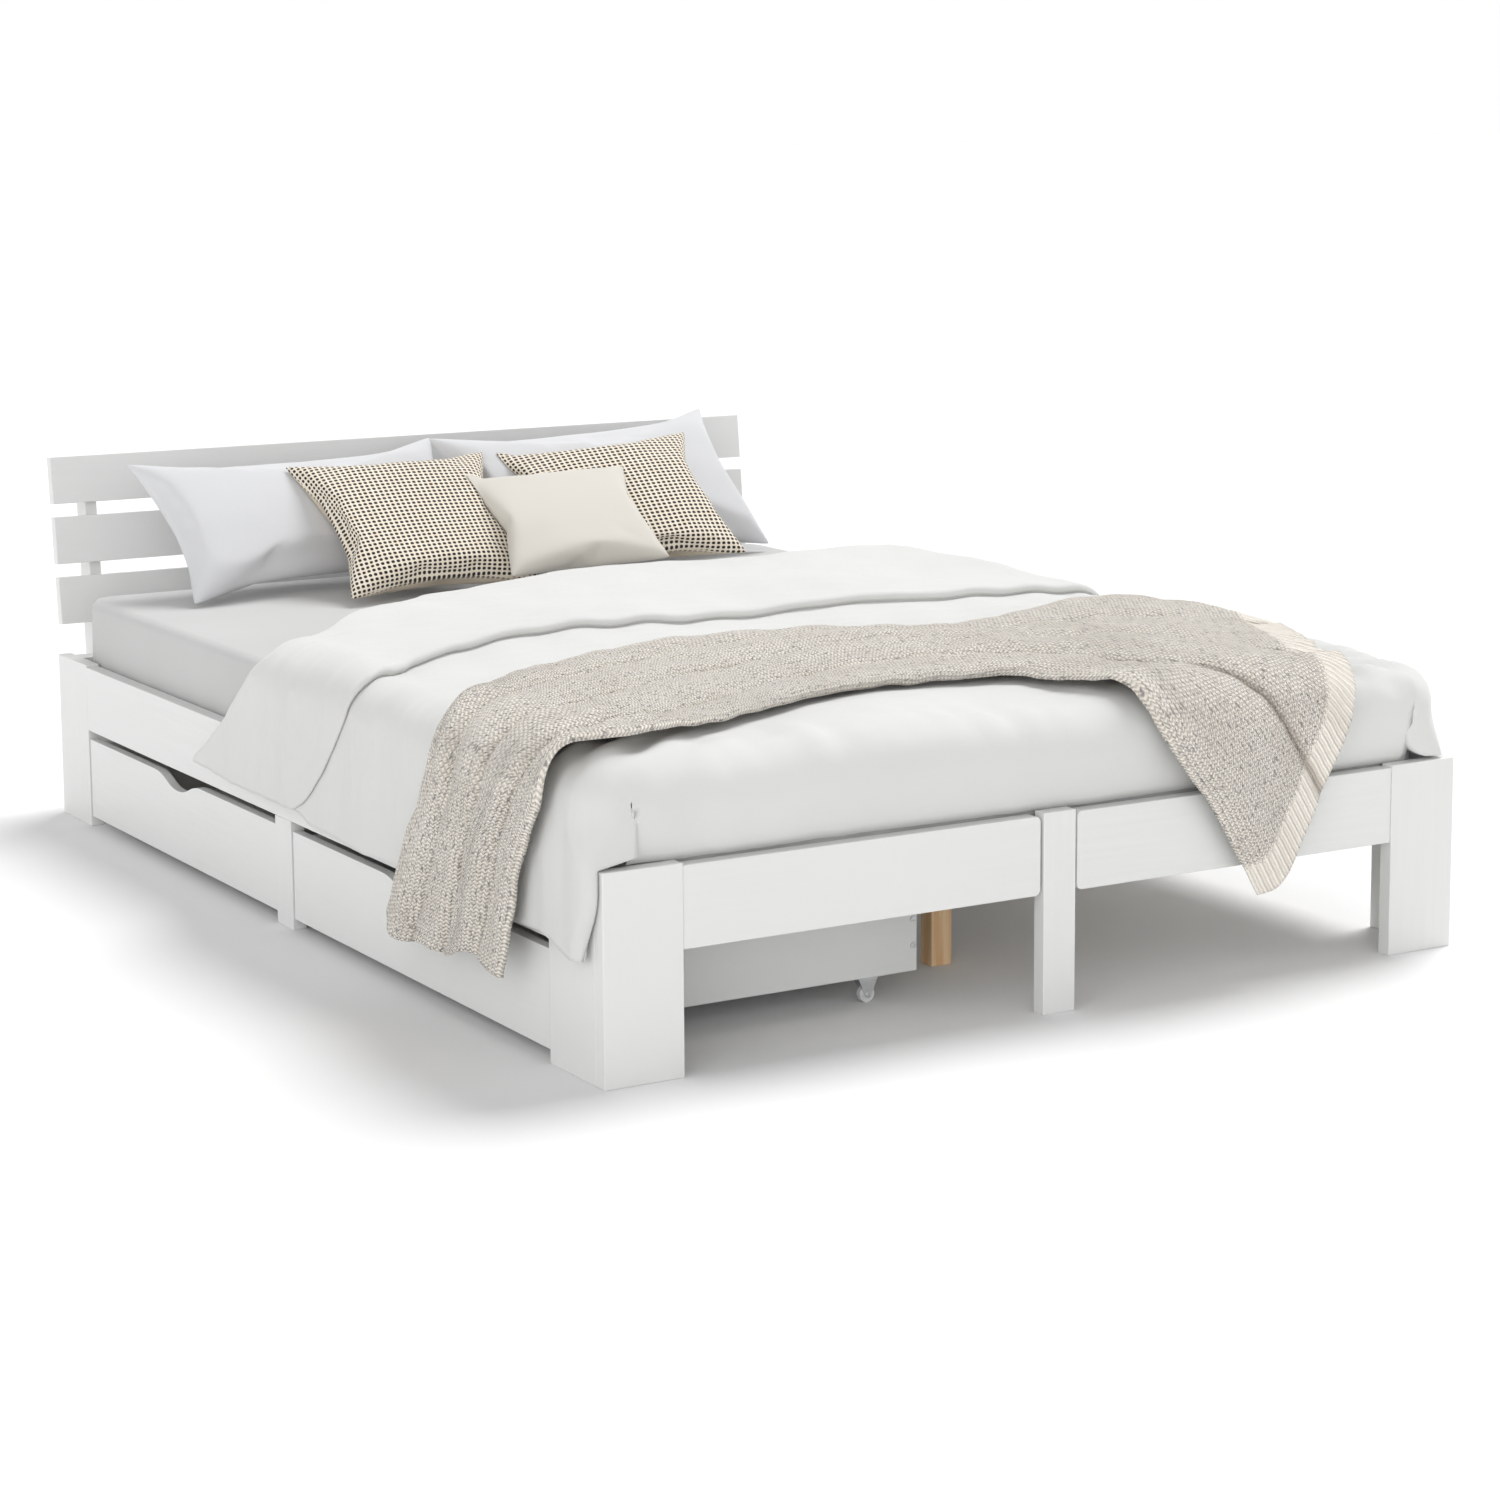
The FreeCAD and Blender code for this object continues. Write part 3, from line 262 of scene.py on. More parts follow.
def cotton(name, colour, creases, thread=0.0011):
    """Plain woven cotton: a fine thread weave, soft creases and faint colour variation."""
    material, tree, shader = new_material(name)
    where = place_in(tree)
    crease_depth = 0.004
    bands_per_metre = 0.314
    warp, weft = [node(tree, "ShaderNodeTexWave",
                       {"Vector": where, "Scale": bands_per_metre / thread, "Distortion": 0.4},
                       wave_type="BANDS", bands_direction=axis).outputs["Fac"] for axis in "XY"]
    cloth = math_node(tree, "MULTIPLY", warp, weft)
    soft = noise(tree, stretch(tree, where, (1.0, 1.6, 1.3)), 7.0, 3.0, 0.55, 0.6)
    small = noise(tree, stretch(tree, where, (1.6, 1.0, 1.0), (0.0, 0.0, 0.5)), 26.0, 3.0, 0.6, 1.2)
    mottle = noise(tree, where, 3.0, 3.0)
    shade = tuple(channel * 0.96 for channel in colour)
    tree.links.new(between(tree, fade(tree, mottle, 0.35, 0.65), colour, shade), shader.inputs["Base Color"])
    tree.links.new(fade(tree, cloth, 0.0, 1.0, 0.82, 0.93), shader.inputs["Roughness"])
    shader.inputs["Sheen Weight"].default_value = 0.25
    shader.inputs["Sheen Roughness"].default_value = 0.5
    shader.inputs["Specular IOR Level"].default_value = 0.25
    bump(tree, shader, ((soft, creases, crease_depth), (small, creases * 0.6, crease_depth * 0.35),
                        (cloth, 0.25, 0.0003)))
    return material


def knitted(name):
    """Loosely knitted wool: rows of small stitches, a ribbed border without flecks, painted shade in the gaps
    between stitches and painted shade in the creases.
    """
    material, tree, shader = new_material(name)
    where = place_in(tree, "UV")
    split = node(tree, "ShaderNodeSeparateXYZ", {"Vector": where})
    row_pitch, column_pitch, rib_pitch = 0.0066, 0.0082, 0.0120
    wobble = math_node(tree, "MULTIPLY", noise(tree, where, 90.0, 2.0), 0.002)
    along, across = [math_node(tree, "ADD", split.outputs[axis], wobble) for axis in "XY"]
    column_wave = sine(tree, across, column_pitch)
    turns_along = math_node(tree, "MULTIPLY", along, math.tau / row_pitch)
    lean = math_node(tree, "MULTIPLY", column_wave, 1.5)
    rows = fade(tree, math_node(tree, "SINE", math_node(tree, "ADD", turns_along, lean)), -1.0, 1.0)
    columns = math_node(tree, "ADD", fade(tree, column_wave, -1.0, 1.0), 0.35)
    stitch = math_node(tree, "POWER", math_node(tree, "MULTIPLY", rows, columns), 0.7)
    ribs = fade(tree, sine(tree, across, rib_pitch), -0.8, 0.8)
    border = node(tree, "ShaderNodeAttribute", attribute_name="border").outputs["Fac"]
    relief = node(tree, "ShaderNodeMix", {0: border, 2: stitch, 3: ribs}).outputs[0]
    fleck = noise(tree, stretch(tree, where, (90.0, 210.0, 1.0)), 1.0, 3.0, 0.6)
    bands = noise(tree, stretch(tree, where, (9.0, 22.0, 1.0)), 1.0, 2.0)
    fuzz = noise(tree, where, 900.0, 3.0)
    base = between(tree, fade(tree, bands, 0.3, 0.7), (0.90, 0.85, 0.77), (0.81, 0.75, 0.665))
    # painted shade: the low parts between the stitches are darkened towards dark brown, less so on the ribbed
    # border
    calm = fade(tree, border, 0.0, 1.0, 1.0, 0.35)
    gap = math_node(tree, "MULTIPLY", fade(tree, relief, 0.05, 0.40, 0.55, 0.0), calm)
    stitch_gap_shaded = between(tree, gap, base, (0.33, 0.28, 0.24))
    dark = math_node(tree, "MULTIPLY", fade(tree, fleck, 0.56, 0.62, 0.0, 0.85),
                     math_node(tree, "SUBTRACT", 1.0, border))
    colour = between(tree, dark, stitch_gap_shaded, (0.27, 0.25, 0.24))
    # painted shade: the yarn is darkened down in the creases, where shade falls
    painted_crease_shade = node(tree, "ShaderNodeAttribute", attribute_name="painted_crease_shade").outputs["Fac"]
    with_crease_shade = between(tree, math_node(tree, "MULTIPLY", painted_crease_shade, 0.75), colour, (0.30, 0.25, 0.20))
    tree.links.new(with_crease_shade, shader.inputs["Base Color"])
    tree.links.new(fade(tree, fuzz, 0.3, 0.7, 0.85, 1.0), shader.inputs["Roughness"])
    shader.inputs["Sheen Weight"].default_value = 0.35
    shader.inputs["Sheen Roughness"].default_value = 0.6
    shader.inputs["Specular IOR Level"].default_value = 0.15
    bump(tree, shader, ((relief, 1.0, 0.0032), (fuzz, 0.3, 0.0006)))
    return material


def checked(name):
    """Cream canvas with a fine black check of dots on its front and plain beige on its back."""
    material, tree, shader = new_material(name)
    where = place_in(tree, "UV")
    split = node(tree, "ShaderNodeSeparateXYZ", {"Vector": where})
    pitch = 0.0100
    lines = [fade(tree, sine(tree, split.outputs[axis], pitch), -1, 1) for axis in "XY"]
    dots = fade(tree, math_node(tree, "MULTIPLY", *lines), 0.17, 0.34)
    threads = [fade(tree, sine(tree, split.outputs[axis], pitch / 5), -1, 1) for axis in "XY"]
    weave = math_node(tree, "MULTIPLY", *threads)
    mottle = noise(tree, where, 60.0, 3.0)
    cream = between(tree, fade(tree, mottle, 0.3, 0.7), (0.80, 0.70, 0.57), (0.87, 0.80, 0.69))
    ink = between(tree, weave, (0.018, 0.016, 0.016), (0.075, 0.065, 0.06))
    front = between(tree, dots, cream, ink)
    plain = between(tree, weave, (0.63, 0.54, 0.42), (0.74, 0.66, 0.54))
    back = node(tree, "ShaderNodeAttribute", attribute_name="back").outputs["Fac"]
    colour = between(tree, back, front, plain)
    tree.links.new(colour, shader.inputs["Base Color"])
    tree.links.new(fade(tree, weave, 0.0, 1.0, 0.95, 0.82), shader.inputs["Roughness"])
    shader.inputs["Sheen Weight"].default_value = 0.2
    shader.inputs["Specular IOR Level"].default_value = 0.2
    relief = math_node(tree, "ADD", weave, math_node(tree, "MULTIPLY", dots, 0.8))
    bump(tree, shader, ((noise(tree, place_in(tree), 22.0, 3.0), 0.25, 0.003), (relief, 0.5, 0.0006)))
    return material


# ---------------------------------------------------------------- meshes
def mesh_object(name, points, faces, material, point_uv=None):
    mesh = bpy.data.meshes.new(name)
    mesh.from_pydata([tuple(map(float, point)) for point in points], [], faces)
    mesh.materials.append(material)
    mesh.polygons.foreach_set("use_smooth", [True] * len(mesh.polygons))
    if point_uv is not None:
        layer = mesh.uv_layers.new(name="UVMap")
        flat = np.array([point_uv[loop.vertex_index] for loop in mesh.loops], float)
        layer.data.foreach_set("uv", flat.ravel())
    mesh.validate()
    made = bpy.data.objects.new(name, mesh)
    bpy.context.scene.collection.objects.link(made)
    return made


def grid_faces(rows, columns, wrap_columns=False):
    """Quads over a grid of points laid out row by row."""
    faces = []
    last = columns if wrap_columns else columns - 1
    for row in range(rows - 1):
        for column in range(last):
            after = (column + 1) % columns
            low = row * columns
            faces.append((low + column, low + after, low + columns + after, low + columns + column))
    return faces


def face_outwards(target):
    """Turns the faces of a closed mesh outwards."""
    work = bmesh.new()
    work.from_mesh(target.data)
    bmesh.ops.recalc_face_normals(work, faces=work.faces)
    work.to_mesh(target.data)
    work.free()


def apply_modifier(target, kind, **settings):
    modifier = target.modifiers.new(kind, kind)
    for name, value in settings.items():
        setattr(modifier, name, value)
    bpy.context.view_layer.objects.active = target
    bpy.ops.object.modifier_apply(modifier=modifier.name)


def set_attribute(target, name, values):
    layer = target.data.attributes.new(name, "FLOAT", "POINT")
    layer.data.foreach_set("value", np.asarray(values, np.float32))


def waves(across, along, seed, size):
    """Smooth pseudo-random undulation between about -1 and 1, with features of a given size."""
    count = 7
    rng = np.random.default_rng(seed)
    total = np.zeros(np.broadcast(across, along).shape)
    for _ in range(count):
        angle = rng.uniform(0.0, math.tau)
        rate = math.tau / size * rng.uniform(0.6, 1.5)
        phase = rng.uniform(0.0, math.tau)
        total += np.sin(rate * (across * math.cos(angle) + along * math.sin(angle)) + phase)
    return total / math.sqrt(count) * 0.8


def smooth_step(value, low, high):
    share = np.clip((value - low) / (high - low), 0.0, 1.0)
    return share * share * (3.0 - 2.0 * share)


def curve_through(points, where):
    """A smooth curve through rows of points, sampled by the share of its length."""
    points = np.asarray(points, float)
    steps = np.linalg.norm(np.diff(points, axis=0), axis=1)
    at = np.concatenate(([0.0], np.cumsum(steps))) / steps.sum()
    slopes = np.gradient(points, at, axis=0)
    index = np.clip(np.searchsorted(at, where, side="right") - 1, 0, len(at) - 2)
    width = (at[index + 1] - at[index])[..., None]
    share = ((where - at[index])[..., None]) / width
    first, second = points[index], points[index + 1]
    cubic = share ** 3
    square = share ** 2
    return ((2 * cubic - 3 * square + 1) * first + (cubic - 2 * square + share) * width * slopes[index]
            + (3 * square - 2 * cubic) * second + (cubic - square) * width * slopes[index + 1])


# ---------------------------------------------------------------- duvet
DUVET_TOP = DUVET_HIGH.z - 0.017
CORNER = 0.070
HEM_BAND, HEM_MAIN = 0.205, 0.184
# the turned-back band's foot-side edge and its head-side fold: (x, distance from the foot end)
BAND_EDGE = ((-0.99, 1.000), (-0.950, 0.944), (-0.854, 0.826), (-0.782, 0.758), (-0.720, 0.742),
             (-0.670, 0.775), (-0.600, 0.850), (-0.500, 0.905), (-0.360, 0.932), (-0.04, 0.940),
             (0.257, 0.925), (0.503, 0.872), (0.66, 0.90), (0.99, 0.92))
FOLD_EDGE = ((-1.00, 1.400), (-0.950, 1.372), (-0.893, 1.300), (-0.838, 1.218), (-0.780, 1.140),
             (-0.730, 1.100), (-0.680, 1.100), (-0.620, 1.135), (-0.530, 1.225), (-0.450, 1.310),
             (-0.330, 1.400), (-0.21, 1.445), (-0.05, 1.475), (0.20, 1.490), (0.507, 1.515),
             (0.72, 1.53), (1.0, 1.53))


def duvet_side(across, along):
    """How far out the duvet's flank stands: on the right it is tucked in beside the foot post."""
    tucked = SIDE - 0.030 + 0.030 * smooth_step(along, 0.10, 0.26)
    return np.where(across > 0, tucked, SIDE)


def section(unrolled, along):
    """The outer surface across the bed: x, z and the outward direction at an unrolled distance."""
    side = duvet_side(unrolled, along)
    flat = side - CORNER
    distance = np.abs(unrolled)
    angle = np.clip((distance - flat) / CORNER, 0.0, math.pi / 2)
    fallen = np.maximum(distance - flat - CORNER * math.pi / 2, 0.0)
    x = np.where(distance <= flat, distance, flat + CORNER * np.sin(angle))
    z = np.where(distance <= flat, DUVET_TOP, DUVET_TOP - CORNER + CORNER * np.cos(angle) - fallen)
    sign = np.where(unrolled < 0, -1.0, 1.0)
    return x * sign, z, np.sin(angle) * sign, np.cos(angle)


def duvet_relief(unrolled, along):
    """Puffs and creases of the duvet along its outward direction, in metres."""
    flank = smooth_step(np.abs(unrolled), 0.62, 0.80)
    on_top = 0.0065 * waves(unrolled, along, 3, 0.46) + 0.0026 * waves(unrolled, along, 5, 0.17)
    fine = 0.0009 * waves(unrolled * 0.6, along * 1.6, 8, 0.06)
    hang = 0.0035 * waves(unrolled * 0.18, along, 11, 0.16) + 0.0016 * waves(unrolled * 0.25, along, 12, 0.06)
    # gathers where the foot edge is tucked behind the rail, and drawn folds near its corners
    tuck = (1.0 - smooth_step(along, 0.02, 0.17)) * (1.0 - flank)
    pleat = 0.0030 * waves(unrolled, along * 0.25, 17, 0.075) * tuck
    corner = np.exp(-((np.abs(unrolled) - 0.64) / 0.10) ** 2 - ((along - 0.10) / 0.13) ** 2)
    drawn = 0.006 * corner * np.sin((np.abs(unrolled) * 0.8 + along) * math.tau / 0.075)
    crown = 0.010 * (1 - (unrolled / 0.72) ** 2) * (1 - flank) * smooth_step(along, 0.0, 0.2)
    return (on_top + fine + pleat + drawn - 0.006 + crown) * (1 - flank) + hang * flank + drawn * flank * 0.4


def duvet_point(unrolled, along):
    """A point on the duvet's outer surface, with its relief."""
    x, z, out_x, out_z = section(unrolled, along)
    lift = duvet_relief(unrolled, along)
    return np.stack([x + out_x * lift, FOOT + along, z + out_z * lift], axis=-1)


def hem_height(along, right):
    """Height of the hem at a distance from the foot end, on the left or the right flank."""
    low = HEM_MAIN + 0.003 * np.sin(along * 9.0) + 0.002 * np.sin(along * 23.0)
    low = low + (HEM_BAND - HEM_MAIN) * smooth_step(along, 0.90, 0.96)
    low = low + 0.010 * smooth_step(along, 1.15, 1.35)
    low = low - 0.020 * np.exp(-((along - 0.045) / 0.05) ** 2)
    if right:
        above_post = POST_TOP + 0.004
        low = above_post + (low - above_post) * smooth_step(along, 0.165, 0.20)
    return low


def across_samples():
    """Shares across the duvet: (zone, share) pairs from the left hem to the right hem."""
    above = (DUVET_TOP - CORNER - POST_TOP - 0.003) / (DUVET_TOP - CORNER - HEM_MAIN)
    shares = sorted([0.985, *np.linspace(1.0, 0.0, 18, endpoint=False), above, above + 0.004], reverse=True)
    hang = [("hang", share) for share in shares]
    arc = [("arc", share) for share in np.linspace(1.0, 0.0, 9, endpoint=False)]
    top = [("top", share) for share in np.linspace(-1.0, 1.0, 110)]
    left = [(zone, share, -1) for zone, share in hang + arc]
    right = [(zone, share, 1) for zone, share in reversed(hang + arc)]
    return left + [(zone, share, 1 if share > 0 else -1) for zone, share in top] + right


def unrolled_at(sample, along):
    """The unrolled distance of a share across the duvet, at distances from the foot end."""
    zone, share, sign = sample
    flat = duvet_side(np.full_like(along, sign), along) - CORNER
    if zone == "top":
        return share * flat
    if zone == "arc":
        return sign * (flat + share * CORNER * math.pi / 2)
    length = DUVET_TOP - CORNER - hem_height(along, sign > 0)
    return sign * (flat + CORNER * math.pi / 2 + share * length)


def duvet_loop(sample):
    """One closed line round the duvet along the bed, at a share across it."""
    zone, share, sign = sample
    flank = {"top": 0.0, "arc": share, "hang": 1.0}[zone]
    thick = 0.0385 - 0.0185 * flank
    turned = 0.017 - 0.012 * flank
    nominal = float(unrolled_at(sample, np.array([1.0]))[0])
    edge = float(np.interp(nominal, *zip(*BAND_EDGE)))
    fold = float(np.interp(nominal, *zip(*FOLD_EDGE)))
    edge += 0.0025 * math.sin(nominal * 13.0) + 0.001 * math.sin(nominal * 47.0 + 1.0)
    fold += 0.005 * math.sin(nominal * 17.0 + 0.5)
    # the foot end: how far the front face reaches inwards from the outer surface
    reach = {"top": DUVET_TOP - POST_TOP - 0.0015,
             "arc": (DUVET_TOP - POST_TOP - 0.0015) * (1 - share) + (CORNER + 0.010) * share,
             "hang": 0.0}[zone]
    if zone == "hang":
        height = DUVET_TOP - CORNER - share * (DUVET_TOP - CORNER - float(hem_height(0.005, sign > 0)))
        reach = CORNER + 0.010 if height > POST_TOP + 0.0025 else 0.020
    # the loose flap beside the post draws back towards its tip
    start = 0.005 + 0.026 * float(smooth_step(share, 0.55, 1.0)) * (zone == "hang" and sign < 0)
    tuck = 0.0185 - 0.0155 * {"top": 0.0, "arc": share, "hang": 1.0}[zone]
    round_off = 0.055
    if zone == "hang":
        round_off = 0.018 + 0.037 * float(smooth_step(height, POST_TOP + 0.0025, DUVET_TOP - CORNER))
    along, lift = [], []
    # front face, from its lower inner edge up
    for step in np.linspace(0.0, 1.0, 7, endpoint=False):
        along.append(start + tuck * (1 - step) ** 2)
        lift.append(-reach + (reach - round_off) * step)
    for angle in np.linspace(0.0, math.pi / 2, 7, endpoint=False):
        along.append(start + round_off * (1 - math.cos(angle)))
        lift.append(-round_off * (1 - math.sin(angle)))
    # the top, the step up to the band, and the band
    first = start + round_off
    main = 92
    along += list(np.linspace(first, edge, main))
    lift += [0.0] * main
    lip = ((0.010, 0.000), (0.006, 0.003), (0.001, 0.35), (0.0015, 0.75), (0.007, 0.97))
    along += [edge + shift for shift, _ in lip]
    lift += [rise if rise < 0.01 else turned * rise for _, rise in lip]
    half = (turned + thick) / 2
    band = 46
    for step in np.linspace(0.0, 1.0, band):
        along.append(edge + 0.016 + step * (fold - half - edge - 0.016))
        lift.append(turned * (1 + 0.25 * math.sin(step * math.pi) * (1 - flank)))
    for angle in np.linspace(0.0, math.pi, 10)[1:-1]:
        along.append(fold - half + half * math.sin(angle))
        lift.append((turned - thick) / 2 + half * math.cos(angle))
    outer = len(along)
    for step in np.linspace(0.0, 1.0, 16):
        along.append(fold - half - step * (fold - half - 0.0295))
        lift.append(-thick)
    for step in np.linspace(0.0, 1.0, 6)[1:]:
        along.append(0.0292)
        lift.append(-thick - step * max(reach - thick, 0.0))
    along, lift = np.array(along), np.array(lift)
    unrolled = unrolled_at(sample, along)
    relief = np.ones(len(along))
    relief[outer:] = 0.0
    relief[:7] = np.linspace(0.15, 1.0, 7)
    seam = 1.0 if zone != "hang" else 1.0 - 0.55 * share ** 6
    x, z, out_x, out_z = section(unrolled, along)
    total = lift * seam + duvet_relief(unrolled, along) * relief
    if zone == "hang" and share == 1.0:
        # the outer and inner layers meet at the hem
        total = np.full(len(along), -0.5 * thick)
    return np.stack([x + out_x * total, FOOT + along, z + out_z * total], axis=-1)


def make_duvet(material):
    loops = np.array([duvet_loop(sample) for sample in across_samples()])
    rows, columns = loops.shape[:2]
    points = loops.reshape(-1, 3)
    faces = grid_faces(rows, columns, wrap_columns=True)
    duvet = mesh_object("duvet_cover", points, faces, material)
    face_outwards(duvet)
    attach(duvet, "bed_frame")
    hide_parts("duvet")


# ---------------------------------------------------------------- mattress and fitted sheet
def rounded_block(low, high, plan_radius, rim, wobble):
    """Rings of a block with rounded plan corners and a rounded top rim, open below.

    Returns the points, the faces and the number of points in a ring.
    """
    half_x, half_y = (high.x - low.x) / 2, (high.y - low.y) / 2
    centre_x, centre_y = (high.x + low.x) / 2, (high.y + low.y) / 2
    count = 240
    ring_x, ring_y = [], []
    straight_x, straight_y = half_x - plan_radius, half_y - plan_radius
    corners = ((1, 1, 0.0), (-1, 1, 0.5), (-1, -1, 1.0), (1, -1, 1.5))
    for sign_x, sign_y, start in corners:
        for angle in np.linspace(start * math.pi, (start + 0.5) * math.pi, 14):
            ring_x.append(sign_x * straight_x + plan_radius * math.cos(angle))
            ring_y.append(sign_y * straight_y + plan_radius * math.sin(angle))
    outline = np.array([ring_x, ring_y]).T
    closed = np.vstack([outline, outline[:1]])
    lengths = np.concatenate(([0.0], np.cumsum(np.linalg.norm(np.diff(closed, axis=0), axis=1))))
    at = np.linspace(0.0, lengths[-1], count, endpoint=False)
    ring = np.stack([np.interp(at, lengths, closed[:, 0]), np.interp(at, lengths, closed[:, 1])], axis=-1)
    tangent = np.roll(ring, -1, axis=0) - np.roll(ring, 1, axis=0)
    normal = np.stack([tangent[:, 1], -tangent[:, 0]], axis=-1)
    normal /= np.linalg.norm(normal, axis=1)[:, None]
    levels = [(0.0, z) for z in np.linspace(low.z, high.z - rim, 9)]
    levels += [(rim * (1 - math.cos(a)), high.z - rim + rim * math.sin(a))
               for a in np.linspace(0.0, math.pi / 2, 7)[1:]]
    rows = []
    for inset, z in levels:
        push = np.broadcast_to(wobble(at, z) if inset < rim * 0.5 else 0.0, count)
        rows.append(np.column_stack([ring - normal * (inset - push)[:, None], np.full(count, z)]))
    top = rows[-1][:, :2]
    for share in np.linspace(1.0, 0.0, 26)[1:-1]:
        flat = top * share
        height = np.full(count, high.z) + 0.0012 * waves(flat[:, 0], flat[:, 1], 21, 0.5)
        rows.append(np.column_stack([flat, height]))
    points = np.vstack(rows + [[[0.0, 0.0, high.z]]])
    points[:, 0] += centre_x
    points[:, 1] += centre_y
    faces = grid_faces(len(rows), count, wrap_columns=True)
    last, apex = (len(rows) - 1) * count, len(rows) * count
    faces += [(last + index, last + (index + 1) % count, apex) for index in range(count)]
    return points, faces, count


def make_mattress(ticking, sheet_cloth):
    low, high = MATTRESS_LOW, MATTRESS_HIGH
    skin = 0.0015
    points, faces, count = rounded_block(low + Vector((skin, skin, 0.0)), high - Vector((skin, skin, skin)),
                                         0.055, 0.018, lambda at, z: 0.0)
    faces.append(tuple(reversed(range(count))))
    mattress = mesh_object("mattress_core", points, faces, ticking)
    face_outwards(mattress)
    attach(mattress, "bed_frame")
    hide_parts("mattress")

    def drawn(at, z):
        """Slight vertical creases that fade towards the rim, strongest near the corners."""
        low_part = 1.0 - smooth_step(z, low.z + 0.03, high.z - 0.02)
        return (0.0010 * waves(at, z * 0.4, 31, 0.05) + 0.0008 * waves(at, z * 0.5, 33, 0.12)
                ) * (0.35 + 0.65 * low_part) - 0.0004

    points, faces, _ = rounded_block(low + Vector((0.0, 0.0, 0.006)), high, 0.056, 0.018, drawn)
    cover = mesh_object("fitted_sheet", points, faces, sheet_cloth)
    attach(cover, "bed_frame")


# ---------------------------------------------------------------- throw
# the path down over the foot edge: (distance from the foot end, height)
FOOT_PATH = ((0.100, DUVET_TOP + 0.006), (0.060, DUVET_TOP + 0.005), (0.030, DUVET_TOP - 0.006),
             (0.006, DUVET_TOP - 0.030), (-0.006, DUVET_TOP - 0.066), (-0.0095, DUVET_TOP - 0.110),
             (-0.0105, DUVET_TOP - 0.160), (-0.0110, DUVET_TOP - 0.240), (-0.0110, DUVET_TOP - 0.340))
FOOT_TURN = FOOT_PATH[0][0]


def foot_fall(height):
    """The unrolled distance along the bed of a height on the path over the foot edge."""
    path = np.array(FOOT_PATH)
    fallen = np.concatenate(([0.0], np.cumsum(np.linalg.norm(np.diff(path, axis=0), axis=1))))
    return FOOT_TURN - float(np.interp(-height, -path[:, 1], fallen))


def side_fall(height):
    """The unrolled distance across the bed of a height on its flank."""
    flat = SIDE - CORNER
    rounded = DUVET_TOP - CORNER
    if height < rounded:
        return flat + CORNER * math.pi / 2 + rounded - height
    return flat + CORNER * math.acos((height - rounded) / CORNER)


def throw_point(unrolled, along, lift):
    """A point of the throw, over the duvet's top and flanks or over the foot edge."""
    base = duvet_point(unrolled, np.maximum(along, 0.03))
    x, _, out_x, out_z = section(unrolled, np.maximum(along, 0.03))
    over = np.stack([base[..., 0] + out_x * lift, base[..., 1], base[..., 2] + out_z * lift], axis=-1)
    path = np.array(FOOT_PATH)
    fallen = np.concatenate(([0.0], np.cumsum(np.linalg.norm(np.diff(path, axis=0), axis=1))))
    slopes = np.gradient(path, fallen, axis=0)
    drop = np.maximum(FOOT_TURN - along, 0.0)
    at_y = np.interp(drop, fallen, path[:, 0])
    at_z = np.interp(drop, fallen, path[:, 1])
    slope_y = np.interp(drop, fallen, slopes[:, 0])
    slope_z = np.interp(drop, fallen, slopes[:, 1])
    length = np.hypot(slope_y, slope_z)
    front = np.stack([unrolled, FOOT + at_y + slope_z / length * lift,
                      at_z - slope_y / length * lift], axis=-1)
    mix = smooth_step(drop, 0.0, 0.05)[..., None]
    return over * (1 - mix) + front * mix


def throw_outline():
    """The four edges in unrolled distances: near, far, left and right."""
    tip = side_fall(0.113)
    near = ((-tip, 0.214), (-side_fall(0.200), 0.185), (-side_fall(0.282), 0.158), (-side_fall(0.360), 0.105),
            (-side_fall(0.415), 0.062), (-0.640, 0.058), (-0.525, 0.099), (-0.370, 0.165), (-0.210, 0.212),
            (-0.057, 0.222), (0.060, 0.190), (0.110, 0.120), (0.135, 0.050), (0.160, foot_fall(0.390)),
            (0.200, foot_fall(0.335)), (0.244, foot_fall(0.283)), (0.290, foot_fall(0.210)),
            (0.338, foot_fall(0.134)))
    far = ((-side_fall(0.136), 0.580), (-side_fall(0.220), 0.525), (-side_fall(0.309), 0.471),
           (-side_fall(0.400), 0.425), (-0.648, 0.500), (-0.550, 0.580), (-0.459, 0.633), (-0.292, 0.680),
           (-0.037, 0.652), (0.150, 0.640), (0.337, 0.640), (0.520, 0.655), (0.656, 0.655),
           (side_fall(0.400), 0.650), (side_fall(0.330), 0.645))
    left = ((-tip, 0.214), (-side_fall(0.122), 0.260), (-side_fall(0.131), 0.300), (-side_fall(0.112), 0.360),
            (-side_fall(0.113), 0.450), (-side_fall(0.104), 0.530), (-side_fall(0.136), 0.580))
    right = ((0.338, foot_fall(0.134)), (0.362, foot_fall(0.138)), (0.420, foot_fall(0.215)),
             (0.462, foot_fall(0.289)), (0.500, foot_fall(0.360)), (0.530, foot_fall(0.420)), (0.548, 0.060),
             (0.585, 0.130), (0.628, 0.220), (0.672, 0.330), (side_fall(0.425), 0.430),
             (side_fall(0.390), 0.500), (side_fall(0.345), 0.580), (side_fall(0.330), 0.645))
    return near, far, left, right


